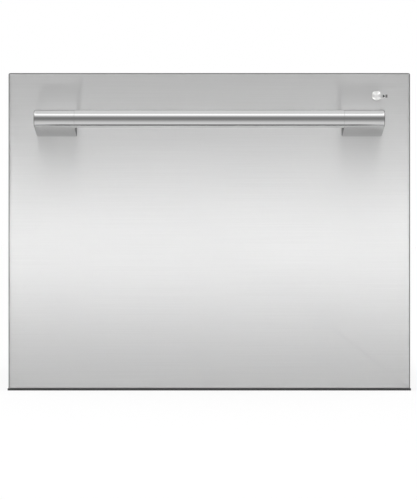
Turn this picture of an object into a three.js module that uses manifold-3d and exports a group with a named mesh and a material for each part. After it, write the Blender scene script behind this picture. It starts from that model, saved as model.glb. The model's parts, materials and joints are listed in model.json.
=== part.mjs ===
// A built-in dishwasher drawer, 24-inch class: a sheet-steel chassis, a wash tub behind a stainless
// door that slides out on two telescopic runners, and a lid that stays in the chassis.
// Millimetres, +Z up, front towards -Y. The origin is the middle of the tray's flat underside.
import * as THREE from 'three';
import { mergeVertices } from 'three/addons/utils/BufferGeometryUtils.js';
import Module from 'manifold-3d';

// ---------- Driving dimensions ----------
const fit = 0.3; // between faces that touch
const runClearance = 0.4; // between parts that slide or turn on each other

// Chassis
const chassisWidth = 599;
const chassisFront = -272;
const portSpace = 47; // behind the tub, for the services
const chassisTop = 462;
const sheet = 1.2;
const returnWidth = 6; // inward lip up the sides of the chassis mouth
const flangeWidth = 12; // folded edges of the side panels
const swageDepth = 2.5;
const trayThickness = 3;
const trayWallTop = 30;
const trayWall = 2;
const toeSetback = 2; // dark strip under the door, behind the door's face
const sealDepth = 2.4; // trim seal in front of the chassis mouth

// Door
const doorReveal = 1.5; // door edge to chassis side
const doorBottom = 3.4;
const doorRise = 9.2; // door's top edge above the chassis
const doorDepth = 23;
const doorGap = 3; // door's back to the chassis front
const panelSheet = 0.9;
const panelBend = 2.5;
const panelCorner = 2.2;
const panelReturn = 22; // depth of the folded edges
const linerWall = 2.5;

// Handle
const barDiameter = 26.3;
const barDrop = 70.7; // bar centre to the door's top edge
const barStandoff = 53.5; // bar centre to panel face
const handleInset = 42.3; // handle's end to the door's edge
const postWidth = 58.9;
const postFoot = 10.8; // how far the post's foot reaches below the bar
const barWall = 3;
const spigotLength = 25;

// Start button
const buttonInset = 50.1; // button's middle to the door's side edge
const buttonDrop = 33.8; // and to its top edge
const buttonDiameter = 14.5;
const buttonProud = 1.4;
const buttonTravel = 1.2;

// Program keys in the door's top edge
const stripLength = 360;
const stripFront = -289.7;
const keyCount = 4;
const keyPitch = 34;
const keyLength = 22;
const keyWidth = 6.4;

// Runners
const railHeight = 45;
const railCentre = 170;
const railSheet = 1.5;
const railGap = 8.5; // chassis side to the fixed rail's web
const railDepth = 13.5; // fixed rail's web to the drawer rail's inner face
const fixedRailLength = 510;
const middleRailLength = 488;
const drawerRailLength = 464;

// Tub
const tubGap = 12.5; // drawer rail to the tub's wall
const tubSetback = 11; // door's back to the tub's front wall
const tubLength = 479;
const tubWall = 3;
const tubTaper = 4;
const tubCorner = 40;
const rimFlange = 6.7;
const rimSkirt = 12;
const floorEdge = 95; // underside of the floor at its edge
const floorFall = 7; // down to the sump
const sumpRadius = 74;
const sumpBottom = 59;
const pumpBore = 30;

// Lid
const lidGap = 6; // lid's top to the chassis top
const lidDepth = 10;
const sealStand = 4; // seal's height below the lid
const lidWall = 2.5;
const lidTravel = 10;
const sealWidth = 6;
const sealGroove = 1.5;
const lidPinRadius = 3;

// Wash system
const armReach = 205;
const armBottom = 108;
const armThickness = 8;
const spindleRadius = 12;
const hubRadius = 16;
const filterRadius = 95;
const drainFilterRadius = 14;
const drainFilterY = 44;
const heaterRadius = 150;
const heaterTube = 8;
const drainPumpReach = 78; // from the tub's middle
const drainPumpZ = 44;

// Dispenser on the tub's front wall
const dispenserHalf = 95;
const dispenserDrop = 14; // below the tub's rim
const dispenserHeight = 83;
const cupWide = 80;
const cupTall = 55;
const cupMargin = 10; // cup to the dispenser's end
const flapDrop = 6; // flap's hinge below the cup
const capReach = 50; // rinse-aid cap from the dispenser's middle

// Racks
const wire = 4; // coated wire of the frames
const tineWire = 3.5;
const rackGap = 20; // tub's wall line to the rack's side
const rackFrontGap = 14;
const rackRearGap = 19;
const rackFloor = 134;
const rackRim = 232;
const tineHeight = 92;
const tinePitch = 30;
const cupLift = 58; // hinge wires of the cup racks above the rack's rim
const cupReach = 112;
const basketWidth = 80;
const basketLength = 230;
const basketHeight = 112;
const basketWall = 2;
const basketInset = 53; // basket's middle to the rack's side
const basketSetback = 132; // and to the rack's front

// ---------- Materials ----------
const finish = (color, roughness, metalness) =>
  new THREE.MeshStandardMaterial({ color, roughness, metalness });
const stainless = finish(0xc9cacb, 0.28, 1);
const galvanised = finish(0xa9adb0, 0.5, 1);
const darkPlastic = finish(0x1b1c1e, 0.6, 0);
const greyPlastic = finish(0x9aa0a5, 0.55, 0);
const whitePlastic = finish(0xe6e7e6, 0.45, 0);
const coatedWire = finish(0xb9bec2, 0.4, 0);
const rubber = finish(0x232325, 0.85, 0);
const board = finish(0x2f6b3d, 0.6, 0);

// ---------- Solids: join and cut ----------
const wasm = await Module();
wasm.setup();

function solid(geometry) {
  const bare = new THREE.BufferGeometry();
  bare.setAttribute('position', geometry.getAttribute('position'));
  bare.setIndex(geometry.index);
  const merged = mergeVertices(bare, 1e-4);
  return new wasm.Manifold(new wasm.Mesh({
    numProp: 3,
    vertProperties: merged.getAttribute('position').array,
    triVerts: new Uint32Array(merged.index.array),
  }));
}

function surface(made) {
  const mesh = made.getMesh();
  const geometry = new THREE.BufferGeometry();
  geometry.setAttribute('position', new THREE.BufferAttribute(mesh.vertProperties, 3));
  geometry.setIndex(new THREE.BufferAttribute(mesh.triVerts, 1));
  const faceted = geometry.toNonIndexed();
  faceted.computeVertexNormals();
  return faceted;
}

const join = (...pieces) => surface(pieces.map(solid).reduce((a, b) => a.add(b)));
const cut = (base, ...tools) => surface(tools.map(solid).reduce((a, b) => a.subtract(b), solid(base)));

// ---------- Outlines ----------
function rectangle(x0, y0, x1, y1, radius = 0) {
  const shape = new THREE.Shape();
  if (!radius) {
    shape.moveTo(x0, y0).lineTo(x1, y0).lineTo(x1, y1).lineTo(x0, y1);
    return shape;
  }
  const quarter = Math.PI / 2;
  shape.absarc(x1 - radius, y0 + radius, radius, -quarter, 0);
  shape.absarc(x1 - radius, y1 - radius, radius, 0, quarter);
  shape.absarc(x0 + radius, y1 - radius, radius, quarter, 2 * quarter);
  shape.absarc(x0 + radius, y0 + radius, radius, 2 * quarter, 3 * quarter);
  return shape;
}

function frame(outer, inner) {
  outer.holes.push(inner);
  return outer;
}

// A folded sheet's section: its middle line, thickened to both sides with mitred bends.
function foldedSection(line, thickness) {
  const points = line.map(([x, y]) => new THREE.Vector2(x, y));
  const side = (sign) => points.map((point, i) => {
    const before = point.clone().sub(points[Math.max(i - 1, 0)]).normalize();
    const after = points[Math.min(i + 1, points.length - 1)].clone().sub(point).normalize();
    const along = before.add(after).normalize();
    const out = new THREE.Vector2(-along.y, along.x);
    const reference = i ? point.clone().sub(points[i - 1]) : points[1].clone().sub(point);
    const lean = Math.abs(along.dot(reference.normalize()));
    return point.clone().addScaledVector(out, (sign * thickness) / 2 / lean);
  });
  return new THREE.Shape([...side(-1), ...side(1).reverse()]);
}

// ---------- Solids from outlines ----------
// Draws an outline out along an axis. Across x it is read as (y, z), across y as (x, z).
function prism(outline, axis, from, to, curveSegments = 4) {
  const geometry = new THREE.ExtrudeGeometry(outline, {
    depth: to - from, bevelEnabled: false, curveSegments,
  });
  if (axis === 'z') return geometry.translate(0, 0, from);
  if (axis === 'y') return geometry.rotateX(Math.PI / 2).translate(0, to, 0);
  const turn = new THREE.Matrix4().makeBasis(
    new THREE.Vector3(0, 1, 0), new THREE.Vector3(0, 0, 1), new THREE.Vector3(1, 0, 0));
  return geometry.applyMatrix4(turn).translate(from, 0, 0);
}

function block(x0, x1, y0, y1, z0, z1) {
  const geometry = new THREE.BoxGeometry(x1 - x0, y1 - y0, z1 - z0);
  return geometry.translate((x0 + x1) / 2, (y0 + y1) / 2, (z0 + z1) / 2);
}

// A turned piece: radius and height pairs, spun round an axis through the origin.
function turned(profile, axis = 'z', sides = 24) {
  const points = profile.map(([radius, height]) => new THREE.Vector2(radius, height));
  const geometry = new THREE.LatheGeometry(points, sides);
  if (axis === 'z') geometry.rotateX(Math.PI / 2);
  if (axis === 'x') geometry.rotateZ(-Math.PI / 2);
  return geometry;
}

const rod = (radius, from, to, axis = 'z', sides = 16) =>
  turned([[0, from], [radius, from], [radius, to], [0, to]], axis, sides);

// A skin over a row of rings with as many points each. It closes over its first and last ring,
// or joins the last ring to the first.
function skin(rings, closed = false) {
  const count = rings[0].length;
  const total = rings.length * count;
  const middle = (ring) => ring.reduce((sum, p) => sum.add(p), new THREE.Vector3())
    .divideScalar(count);
  const points = [...rings.flat(), middle(rings[0]), middle(rings.at(-1))];
  const index = [];
  const last = total - count;
  for (let i = 0; i < count; i++) {
    const j = (i + 1) % count;
    if (!closed) {
      index.push(total, j, i);
      index.push(total + 1, last + i, last + j);
    }
    for (let k = 0; k < (closed ? total : last); k += count) {
      const next = (k + count) % total;
      index.push(k + i, k + j, next + j);
      index.push(k + i, next + j, next + i);
    }
  }
  const geometry = new THREE.BufferGeometry().setFromPoints(closed ? rings.flat() : points);
  geometry.setIndex(index);
  return geometry;
}

// Points round a rounded rectangle with half sizes a and b, as many for any size.
function roundedLoop(a, b, radius, steps = 3) {
  const loop = [];
  for (const [sx, sy, start] of [[1, 1, 0], [-1, 1, 1], [-1, -1, 2], [1, -1, 3]]) {
    for (let i = 0; i <= steps; i++) {
      const angle = (start + i / steps) * (Math.PI / 2);
      loop.push([
        sx * (a - radius) + radius * Math.cos(angle),
        sy * (b - radius) + radius * Math.sin(angle),
      ]);
    }
  }
  return loop;
}

// A wire bent through a list of points, mitred at its bends; a closed one runs on to its start.
function bentWire(path, diameter, closed = false, sides = 5) {
  const points = path.map((p) => new THREE.Vector3(...p));
  const count = points.length;
  const step = (i) => points[(i + 1) % count].clone().sub(points[i]).normalize();
  const incoming = (i) => (closed ? step((i + count - 1) % count) : step(Math.max(i - 1, 0)));
  const outgoing = (i) => (closed ? step(i) : step(Math.min(i, count - 2)));
  const first = incoming(0);
  const up = Math.abs(first.z) > 0.9 ? new THREE.Vector3(1, 0, 0) : new THREE.Vector3(0, 0, 1);
  const across = new THREE.Vector3().crossVectors(up, first).normalize();
  let spokes = [...Array(sides)].map((_, i) => across.clone()
    .applyAxisAngle(first, (i * 2 * Math.PI) / sides).multiplyScalar(diameter / 2));
  const rings = points.map((point, i) => {
    const before = incoming(i);
    const after = outgoing(i);
    const mitre = before.clone().add(after).normalize();
    const ring = spokes.map((spoke) => point.clone().add(spoke)
      .addScaledVector(before, -spoke.dot(mitre) / before.dot(mitre)));
    const bend = new THREE.Quaternion().setFromUnitVectors(before, after);
    spokes = spokes.map((spoke) => spoke.clone().applyQuaternion(bend));
    return ring;
  });
  return skin(rings, closed);
}

// ---------- Placing ----------
function add(group, name, geometry, material, [x, y, z] = [0, 0, 0]) {
  const mesh = new THREE.Mesh(geometry, material);
  mesh.name = name;
  mesh.position.set(x, y, z);
  group.add(mesh);
  return mesh;
}

// A piece on the right-hand side and its mirror image on the left.
function addPair(group, name, geometry, material) {
  add(group, `right_${name}`, geometry, material);
  add(group, `left_${name}`, geometry, material).scale.x = -1;
}

const centred = (count, pitch) => [...Array(count)].map((_, i) => (i - (count - 1) / 2) * pitch);

// ---------- Places that several pieces share ----------
const chassisHalf = chassisWidth / 2;
const sideInside = chassisHalf - sheet;
const sideBottom = trayThickness + fit;
const sideTop = chassisTop - sheet - fit;
const doorTop = chassisTop + doorRise;
const doorBack = chassisFront - doorGap;
const doorFront = doorBack - doorDepth;
const toeFront = doorFront + toeSetback;
const tubFront = doorBack + tubSetback;
const tubRear = tubFront + tubLength;
const fixedRailFront = tubFront;
const chassisRear = tubRear + portSpace;
const rearInside = chassisRear - sheet;
const lidTop = chassisTop - lidGap;
const lidBottom = lidTop - lidDepth;
const tubRim = lidBottom - lidTravel - sealStand;
const barHeight = doorTop - barDrop;
const doorHalf = chassisHalf - doorReveal;
const doorMiddle = (doorBottom + doorTop) / 2;
const doorHalfHeight = (doorTop - doorBottom) / 2;
const linerHalf = doorHalf - panelSheet - fit;
const linerFront = doorFront + panelBend + fit;
const linerInside = doorBack - linerWall; // front of the liner's back plate
const barY = doorFront - barStandoff;
const barRadius = barDiameter / 2;
const handleHalf = doorHalf - handleInset;
const postInner = handleHalf - postWidth;
const tubMiddle = (tubFront + tubRear) / 2;
const railOuter = chassisHalf - railGap;
const railInner = railOuter - railDepth;
const tubHalf = railInner - tubGap;
const tubHalfDepth = (tubRear - tubFront) / 2;
const wallBottom = floorEdge + 25;
const wallTop = tubRim - tubWall;
const stripHalf = stripLength / 2;
const stripTop = doorTop - 0.5;
const stripBottom = stripTop - 20;
const keyTop = doorTop - 0.1;
const keyY = (stripFront + linerInside - fit) / 2;
const keyPlaces = [...Array(keyCount)].map((_, i) => stripHalf - 30 - i * keyPitch);
const buttonRadius = buttonDiameter / 2;
const buttonX = doorHalf - buttonInset;
const buttonZ = doorTop - buttonDrop;

const sumpLip = floorEdge + tubWall - floorFall; // floor's upper face where it meets the sump
const floorSlope = floorFall / (tubHalf - 22 - sumpRadius);
const heaterZ = sumpLip + (heaterRadius - sumpRadius) * floorSlope * 1.2 + heaterTube / 2 + fit;

// How far the tub's walls lean in at a height.
const leanAt = (z) => tubTaper * THREE.MathUtils.clamp((wallTop - z) / (wallTop - wallBottom), 0, 1);

// ---------- Chassis ----------
function baseTray() {
  const wallOut = sideInside - fit;
  const wallFront = chassisFront + sheet + fit;
  const wallRear = rearInside - swageDepth - sheet / 2 - fit;
  const plate = prism(rectangle(-chassisHalf, toeFront, chassisHalf, chassisRear), 'z',
    0, trayThickness);
  const wall = prism(frame(
    rectangle(-wallOut, wallFront, wallOut, wallRear),
    rectangle(-wallOut + trayWall, wallFront + trayWall, wallOut - trayWall, wallRear - trayWall)),
  'z', trayThickness - 1, trayWallTop);
  const frontLip = trayThickness + 5;
  const mouth = block(-wallOut + trayWall, wallOut - trayWall, wallFront - 1,
    wallFront + trayWall + 1, frontLip, trayWallTop + 1);
  const ribs = centred(7, 80).map((x) =>
    block(x - 1, x + 1, wallFront + 1, wallRear - 1, trayThickness - 1, trayThickness + 3));
  return join(plate, cut(wall, mouth), ...ribs);
}

function sidePanel() {
  const line = chassisHalf - sheet / 2;
  const pressed = line - swageDepth;
  const top = sideTop - sheet / 2;
  const skinLine = [[line, sideBottom]];
  const swages = [[sideBottom + 56.7, railCentre - 50], [railCentre + 65, railCentre + 160]];
  for (const [low, high] of swages) {
    skinLine.push([line, low], [pressed, low + 5], [pressed, high - 5], [line, high]);
  }
  skinLine.push([line, top], [line - flangeWidth, top]);
  const rear = rearInside - fit;
  const face = prism(foldedSection(skinLine, sheet), 'y', chassisFront, rear);
  const lip = block(chassisHalf - returnWidth - sheet, line, chassisFront, chassisFront + sheet,
    sideBottom, sideTop);
  const rearFlange = block(line - flangeWidth, line, rear - sheet, rear, sideBottom, sideTop);
  return join(face, lip, rearFlange);
}

function topPanel() {
  const line = chassisTop - sheet / 2;
  const lipLine = chassisFront + sheet / 2;
  const section = [[lipLine, chassisTop - 14], [lipLine, line]];
  for (const y of [-170, -20, 130]) {
    section.push([y, line], [y + 4, line + 2], [y + 56, line + 2], [y + 60, line]);
  }
  section.push([chassisRear, line]);
  const panel = prism(foldedSection(section, sheet), 'x', -chassisHalf, chassisHalf);
  const lipEnd = chassisHalf - sheet / 2 - flangeWidth - fit;
  const corners = [[lipEnd, chassisHalf + 1], [-chassisHalf - 1, -lipEnd]].map(([from, to]) =>
    block(from, to, chassisFront - 1, chassisFront + sheet + fit, chassisTop - 20, sideTop + fit));
  return cut(panel, ...corners);
}

// Where the services pass through the rear panel: centre x, centre z.
const portInset = 84.5;
const portHeight = 62;
const terminalRise = 88;
const inletAt = [chassisHalf - portInset, portHeight];
const drainAt = [portInset - chassisHalf, portHeight];
const terminalAt = [portInset - chassisHalf, portHeight + terminalRise];
const inletRadius = 13.2;
const drainRadius = 10;
const terminalSize = [70, 56];
const portSides = 14;

function rearPanel() {
  const line = chassisRear - sheet / 2;
  const section = [[-chassisHalf, line]];
  const pressed = line - swageDepth;
  for (const x of centred(3, 125)) {
    section.push([x - 32, line], [x - 27, pressed], [x + 27, pressed], [x + 32, line]);
  }
  section.push([chassisHalf, line]);
  const panel = prism(foldedSection(section, sheet), 'z', sideBottom, sideTop);
  const through = [chassisRear - 6, chassisRear + 6];
  const [inlet, drain] = [[inletAt, inletRadius], [drainAt, drainRadius]].map(([at, radius]) =>
    rod(radius + fit, ...through, 'y', portSides).translate(at[0], 0, at[1]));
  const [x, z] = terminalAt;
  const [w, h] = terminalSize;
  const terminal = prism(rectangle(x - w / 2 - fit, z - h / 2 - fit, x + w / 2 + fit, z + h / 2 + fit),
    'y', ...through);
  return cut(panel, inlet, drain, terminal);
}

// Soft strip up both sides and over the top of the chassis mouth, that the door's back meets.
function trimSeal() {
  const out = chassisHalf - 0.8;
  const inside = chassisHalf - returnWidth - sheet;
  const top = chassisTop - 0.8;
  const shape = new THREE.Shape();
  shape.moveTo(-out, sideBottom).lineTo(-inside, sideBottom).lineTo(-inside, top - 9);
  shape.lineTo(inside, top - 9).lineTo(inside, sideBottom).lineTo(out, sideBottom);
  shape.lineTo(out, top).lineTo(-out, top);
  return prism(shape, 'y', chassisFront - sealDepth, chassisFront - fit);
}

function inletValve() {
  const thread = turned([[0, -40], [11, -40], [11, -18], [20, -18], [20, -4], [16, -4], [16, -2],
    [inletRadius - 1, -2], [inletRadius - 1, 0], [inletRadius, 2], [inletRadius, 12], [inletRadius - 1, 13],
    [0, 13]], 'y', portSides);
  const coil = block(-14, 14, -46, -20, 6, 40);
  const foot = block(-22, 22, -4.6, -2.6, -24, 22);
  const well = rod(8, -6, 14, 'y', portSides);
  return cut(join(thread, coil, foot), well);
}

function drainSpigot() {
  return turned([[0, -30], [drainRadius - 2, -30], [drainRadius, -28], [drainRadius, -4],
    [22, -4], [22, -1.5], [drainRadius, -1.5], [drainRadius, 9],
    [drainRadius - 1, 13], [drainRadius - 3, 13], [drainRadius - 3, -26], [0, -26]], 'y', portSides);
}

function terminalBox() {
  const [w, h] = terminalSize;
  const outer = prism(rectangle(-w / 2, -h / 2, w / 2, h / 2, 4), 'y', -34, 1.5, 2);
  const flange = prism(rectangle(-w / 2 - 5, -h / 2 - 5, w / 2 + 5, h / 2 + 5, 5), 'y', -4, -1.6, 2);
  const inside = prism(rectangle(-w / 2 + 2, -h / 2 + 2, w / 2 - 2, h / 2 - 2, 3), 'y', -31, 2, 2);
  const bars = [-12, 0, 12].map((x) => block(x - 3, x + 3, -32, -20, -14, 14));
  return join(cut(join(outer, flange), inside), ...bars);
}

// Screw tab under the worktop: a Z of sheet steel on the chassis top.
const mountRise = 8.5; // tab's top above the chassis
const mountInset = 79.5; // tab's middle to the chassis side
const mountWidth = 40;
const mountSheet = 1.5;
const mountSteps = [10, 36, 66]; // foot's front, riser and tab's rear, behind the chassis front
const screwHole = 2.6;
function mountTab() {
  const [footFront, riser, tabRear] = mountSteps.map((step) => chassisFront + step);
  const low = chassisTop + fit + mountSheet / 2;
  const high = chassisTop + mountRise - mountSheet / 2;
  const middle = chassisHalf - mountInset;
  const section = foldedSection([[footFront, low], [riser, low], [riser, high], [tabRear, high]],
    mountSheet);
  const tab = prism(section, 'x', middle - mountWidth / 2, middle + mountWidth / 2);
  const hole = (y, z) => rod(screwHole, z - 4, z + 4, 'z', 8).translate(middle, y, 0);
  return cut(tab, hole(tabRear - 3 * screwHole - 0.2, high), hole(footFront + 12, low));
}

// ---------- Runners ----------
// A channel's section in (x, z): its web at one side, its flanges reaching towards the other.
function channel(webFrom, tips, height, thickness) {
  const towards = Math.sign(tips - webFrom);
  const web = webFrom + (towards * thickness) / 2;
  const half = height / 2 - thickness / 2;
  return foldedSection([[tips, railCentre - half], [web, railCentre - half],
    [web, railCentre + half], [tips, railCentre + half]], thickness);
}

const middleHeight = railHeight - 2 * (railSheet + runClearance);
const drawerRailHeight = middleHeight - 2 * (railSheet + runClearance);
const middleWeb = railOuter - railSheet - runClearance;

function fixedRail() {
  const section = channel(railOuter, railInner + railSheet, railHeight, railSheet);
  const rail = prism(section, 'y', fixedRailFront, fixedRailFront + fixedRailLength);
  const rear = fixedRailFront + fixedRailLength;
  const stop = block(railInner + railSheet, railOuter - railSheet / 2, rear - railSheet, rear,
    railCentre - railHeight / 2, railCentre + railHeight / 2);
  return join(rail, stop);
}

function middleRail() {
  const section = channel(middleWeb, railInner + railSheet + runClearance, middleHeight, railSheet);
  const rail = prism(section, 'y', fixedRailFront + 2, fixedRailFront + 2 + middleRailLength);
  const window = (y) => prism(rectangle(y - 30, railCentre - 7, y + 30, railCentre + 7, 7), 'x',
    middleWeb - 3, middleWeb + 3, 2);
  return cut(rail, ...centred(3, 150).map((y) => window(y - 15)));
}

function drawerRail() {
  const flangeTips = middleWeb - railSheet - runClearance;
  const section = channel(railInner, flangeTips, drawerRailHeight, railSheet);
  return prism(section, 'y', fixedRailFront, fixedRailFront + drawerRailLength);
}

// Stands the fixed rail off the side panel.
function railBracket() {
  const thick = 1.5;
  const inner = railOuter + fit + thick / 2;
  const outer = sideInside - fit - thick / 2;
  const low = railCentre - 20;
  const turn = railCentre + railHeight / 2 + 2;
  const section = foldedSection([[inner, low], [inner, turn], [outer, turn], [outer, turn + 26]], thick);
  const length = fixedRailLength - 40;
  const bracket = prism(section, 'y', fixedRailFront + 20, fixedRailFront + 20 + length);
  const relief = (y) => prism(rectangle(y - 45, turn + 10, y + 45, turn + 40, 6), 'x',
    outer - 3, outer + 3, 1);
  return cut(bracket, ...centred(3, 150).map((y) => relief(y - 10)));
}

// Carries the tub's ledge on the drawer rail.
function tubBracket() {
  const thick = 1.5;
  const web = railInner - fit - thick / 2;
  const shelf = railCentre - 20;
  const inner = tubHalf - leanAt(shelf) + 1;
  const section = foldedSection([[inner, shelf], [web, shelf], [web, railCentre + 18]], thick);
  return prism(section, 'y', fixedRailFront, fixedRailFront + drawerRailLength);
}

// ---------- Tub ----------
function tub() {
  const wallRing = (offset, z) => {
    const out = offset - leanAt(z);
    return roundedLoop(tubHalf + out, tubHalfDepth + out, tubCorner + out).map(([x, y]) =>
      new THREE.Vector3(x, tubMiddle + y, z));
  };
  const sumpRing = (radius, z) => roundedLoop(radius, radius, radius - 1).map(([x, y]) =>
    new THREE.Vector3(x, tubMiddle + y, z));
  const floorTop = floorEdge + tubWall;
  const shell = skin([
    sumpRing(sumpRadius - 4, sumpBottom),
    sumpRing(sumpRadius, floorEdge - floorFall),
    wallRing(-22, floorEdge),
    wallRing(-5, floorEdge + 7),
    wallRing(0, wallBottom),
    wallRing(0, wallTop),
    wallRing(rimFlange - tubWall, wallTop),
    wallRing(rimFlange - tubWall, tubRim - rimSkirt),
    wallRing(rimFlange, tubRim - rimSkirt),
    wallRing(rimFlange, tubRim - 1.5),
    wallRing(rimFlange - 1.5, tubRim),
    wallRing(-1.5, tubRim),
    wallRing(-tubWall, tubRim - 1.5),
    wallRing(-tubWall, wallBottom),
    wallRing(-5 - tubWall, floorTop + 6),
    wallRing(-22 - tubWall / 2, floorTop),
    sumpRing(sumpRadius - tubWall, floorTop - floorFall),
    sumpRing(sumpRadius - 4 - tubWall, sumpBottom + tubWall),
  ]);
  const ledgeBottom = railCentre - 20 + 0.75 + fit;
  const ledges = [-1, 1].map((side) => {
    const wall = side * (tubHalf - leanAt(ledgeBottom) - tubWall / 2);
    const tip = side * (railInner - fit - 1.5 - fit);
    return block(Math.min(wall, tip), Math.max(wall, tip), fixedRailFront + 10,
      fixedRailFront + drawerRailLength - 30, ledgeBottom, ledgeBottom + 4);
  });
  const bore = rod(pumpBore, sumpBottom - 5, sumpBottom + 10, 'z', 20).translate(0, tubMiddle, 0);
  return cut(join(shell, ...ledges), bore);
}

// ---------- Lid ----------
const sealLine = rimFlange / 2 - 1; // middle of the seal, out from the tub's wall line
const lidEdge = sealLine + sealWidth / 2 + 1;
const lidPinPlaces = [tubMiddle - 145.5, tubMiddle + 134.5];
const lidPinZ = lidTop - 4;
const guideX = tubHalf + rimFlange + 2.5; // inner face of the lid guides
const guideSheet = 1.5;

function lidRing(offset, z) {
  return roundedLoop(tubHalf + offset, tubHalfDepth + offset, tubCorner + offset).map(([x, y]) =>
    new THREE.Vector3(x, tubMiddle + y, z));
}

// A flat band that follows the tub's rim.
function rimBand(outside, inside, low, high) {
  return cut(skin([lidRing(outside, low), lidRing(outside, high)]),
    skin([lidRing(inside, low - 1), lidRing(inside, high + 1)]));
}

function lid() {
  const tray = skin([
    lidRing(lidEdge - 2, lidBottom), lidRing(lidEdge, lidBottom + 2), lidRing(lidEdge, lidTop),
    lidRing(lidEdge - lidWall, lidTop), lidRing(lidEdge - lidWall, lidBottom + lidWall + 0.5),
  ]);
  const ribs = [
    ...centred(3, 140).map((x) => [x - 1, x + 1, tubFront, tubRear]),
    ...centred(2, 160).map((y) => [-tubHalf, tubHalf, tubMiddle + y - 1, tubMiddle + y + 1]),
  ].map((plan) => block(...plan, lidBottom + lidWall - 0.5, lidTop - 2));
  const root = tubHalf + lidEdge - 1;
  const tip = guideX + guideSheet + 1;
  const pins = lidPinPlaces.flatMap((y) => [[root, tip], [-tip, -root]].map(([from, to]) =>
    rod(lidPinRadius, from, to, 'x', 10).translate(0, y, lidPinZ)));
  const groove = rimBand(sealLine + sealWidth / 2 + fit, sealLine - sealWidth / 2 - fit,
    lidBottom - 1, lidBottom + sealGroove);
  return cut(join(tray, ...ribs, ...pins), groove);
}

function lidSeal() {
  const low = tubRim + fit + lidTravel;
  return rimBand(sealLine + sealWidth / 2, sealLine - sealWidth / 2, low, lidBottom + sealGroove - fit);
}

// Folded plate that hangs from the side panel's flange and holds the lid's pins in upright slots.
function lidGuide() {
  const top = sideTop - sheet - fit - guideSheet / 2;
  const plate = guideX + guideSheet / 2;
  const section = foldedSection([[plate, tubRim + 3], [plate, top], [sideInside - fit, top]], guideSheet);
  const guide = prism(section, 'y', tubFront + 30, tubRear - 30);
  const slots = lidPinPlaces.map((y) => {
    const r = lidPinRadius + runClearance;
    return prism(rectangle(y - r, lidPinZ - lidTravel - r, y + r, lidPinZ + r, r - 0.01), 'x',
      plate - 3, plate + 3, 2);
  });
  return cut(guide, ...slots);
}

// Wax motor and crank that lower the lid, hung under the guide's top fold.
const actuatorLength = 66;
const actuatorCan = 32;
const actuatorShift = 17.5;
function lidActuator() {
  const top = sideTop - sheet - 2 * fit - guideSheet;
  const inner = guideX + guideSheet + 2 + fit;
  const outer = sideInside - 4;
  const half = actuatorLength / 2;
  const body = prism(rectangle(inner, top - 19, outer, top, 3), 'y', -half, half, 2);
  const can = rod(7, half, half + actuatorCan, 'y', 10).translate((inner + outer) / 2, 0, top - 9);
  return join(body, can).translate(0, tubMiddle + actuatorShift, 0);
}

// ---------- Door ----------
// A rounded rectangle across the door, set in from its edge, listed so that rings run front to back.
function doorRing(inset, y) {
  const radius = Math.max(panelCorner - inset, 0.6);
  return roundedLoop(doorHalf - inset, doorHalfHeight - inset, radius, 3).map(([x, z]) =>
    new THREE.Vector3(x, y, doorMiddle + z)).reverse();
}

// Screws that hold the handle, two to a post.
const screwX = postInner + postWidth / 2;
const screwHeights = [barHeight - 8, barHeight + 6];

function doorOuterPanel() {
  const bend = (start, radius) => [0, 30, 60, 90].map(THREE.MathUtils.degToRad).map((angle) =>
    doorRing(start + radius * (1 - Math.sin(angle)), doorFront + start + radius * (1 - Math.cos(angle))));
  const pan = skin([
    ...bend(0, panelBend),
    doorRing(0, doorFront + panelReturn),
    doorRing(panelSheet, doorFront + panelReturn),
    ...bend(panelSheet, panelBend - panelSheet).reverse(),
  ]);
  const keySlot = block(-stripHalf - fit, stripHalf + fit, stripFront - fit,
    doorFront + panelReturn + 1, doorTop - 6, doorTop + 1);
  const button = rod(buttonRadius + fit, doorFront - 2, doorFront + 4, 'y', 24)
    .translate(buttonX, 0, buttonZ);
  const screws = [-1, 1].flatMap((side) => screwHeights.map((z) =>
    rod(2.6, doorFront - 2, doorFront + 4, 'y', 8).translate(side * screwX, 0, z)));
  return cut(pan, keySlot, button, ...screws);
}

function doorLiner() {
  const inset = doorHalf - linerHalf;
  const tray = cut(
    skin([doorRing(inset, linerFront), doorRing(inset, doorBack)]),
    skin([doorRing(inset + linerWall, linerFront - 1), doorRing(inset + linerWall, linerInside)]));
  const low = doorBottom + inset + 1;
  const high = doorTop - inset - 1;
  const ribDepth = [linerFront + 3, linerInside + 0.5];
  const ribs = join(
    ...centred(4, 130).map((x) => block(x - 1, x + 1, ...ribDepth, low, high)),
    ...centred(3, 130).map((z) => block(-linerHalf + 1, linerHalf - 1, ...ribDepth,
      doorMiddle + z - 1, doorMiddle + z + 1)));
  const stripSpace = block(-stripHalf - fit, stripHalf + fit, doorFront, linerInside,
    stripBottom - fit, doorTop + 1);
  const buttonSpace = block(buttonX - 18, buttonX + 18, doorFront, linerInside,
    buttonZ - 20, buttonZ + 20);
  const bosses = [-1, 1].flatMap((side) => screwHeights.map((z) =>
    rod(5.5, doorFront + panelSheet + fit, linerInside + 0.5, 'y', 8).translate(side * screwX, 0, z)));
  return cut(join(tray, cut(ribs, stripSpace, buttonSpace), ...bosses), stripSpace);
}

// Dished spacer, screwed to the liner's back, that the tub's front wall is screwed to.
function tubMountPlate() {
  const half = tubHalf - 50;
  const low = tubRim - 142;
  const high = tubRim - rimSkirt - 2;
  const layer = (inset, front, back) => prism(rectangle(-half + inset, low + inset,
    half - inset, high - inset, 12 - inset), 'y', front, back, 2);
  const front = doorBack + fit;
  const back = tubFront - fit;
  const ribs = centred(4, 86).map((x) => block(x - 1, x + 1, front + 1, back - 1, low + 1, high - 1));
  return join(cut(layer(0, front, back), layer(linerWall, front - 1, back - linerWall)), ...ribs);
}

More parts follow.
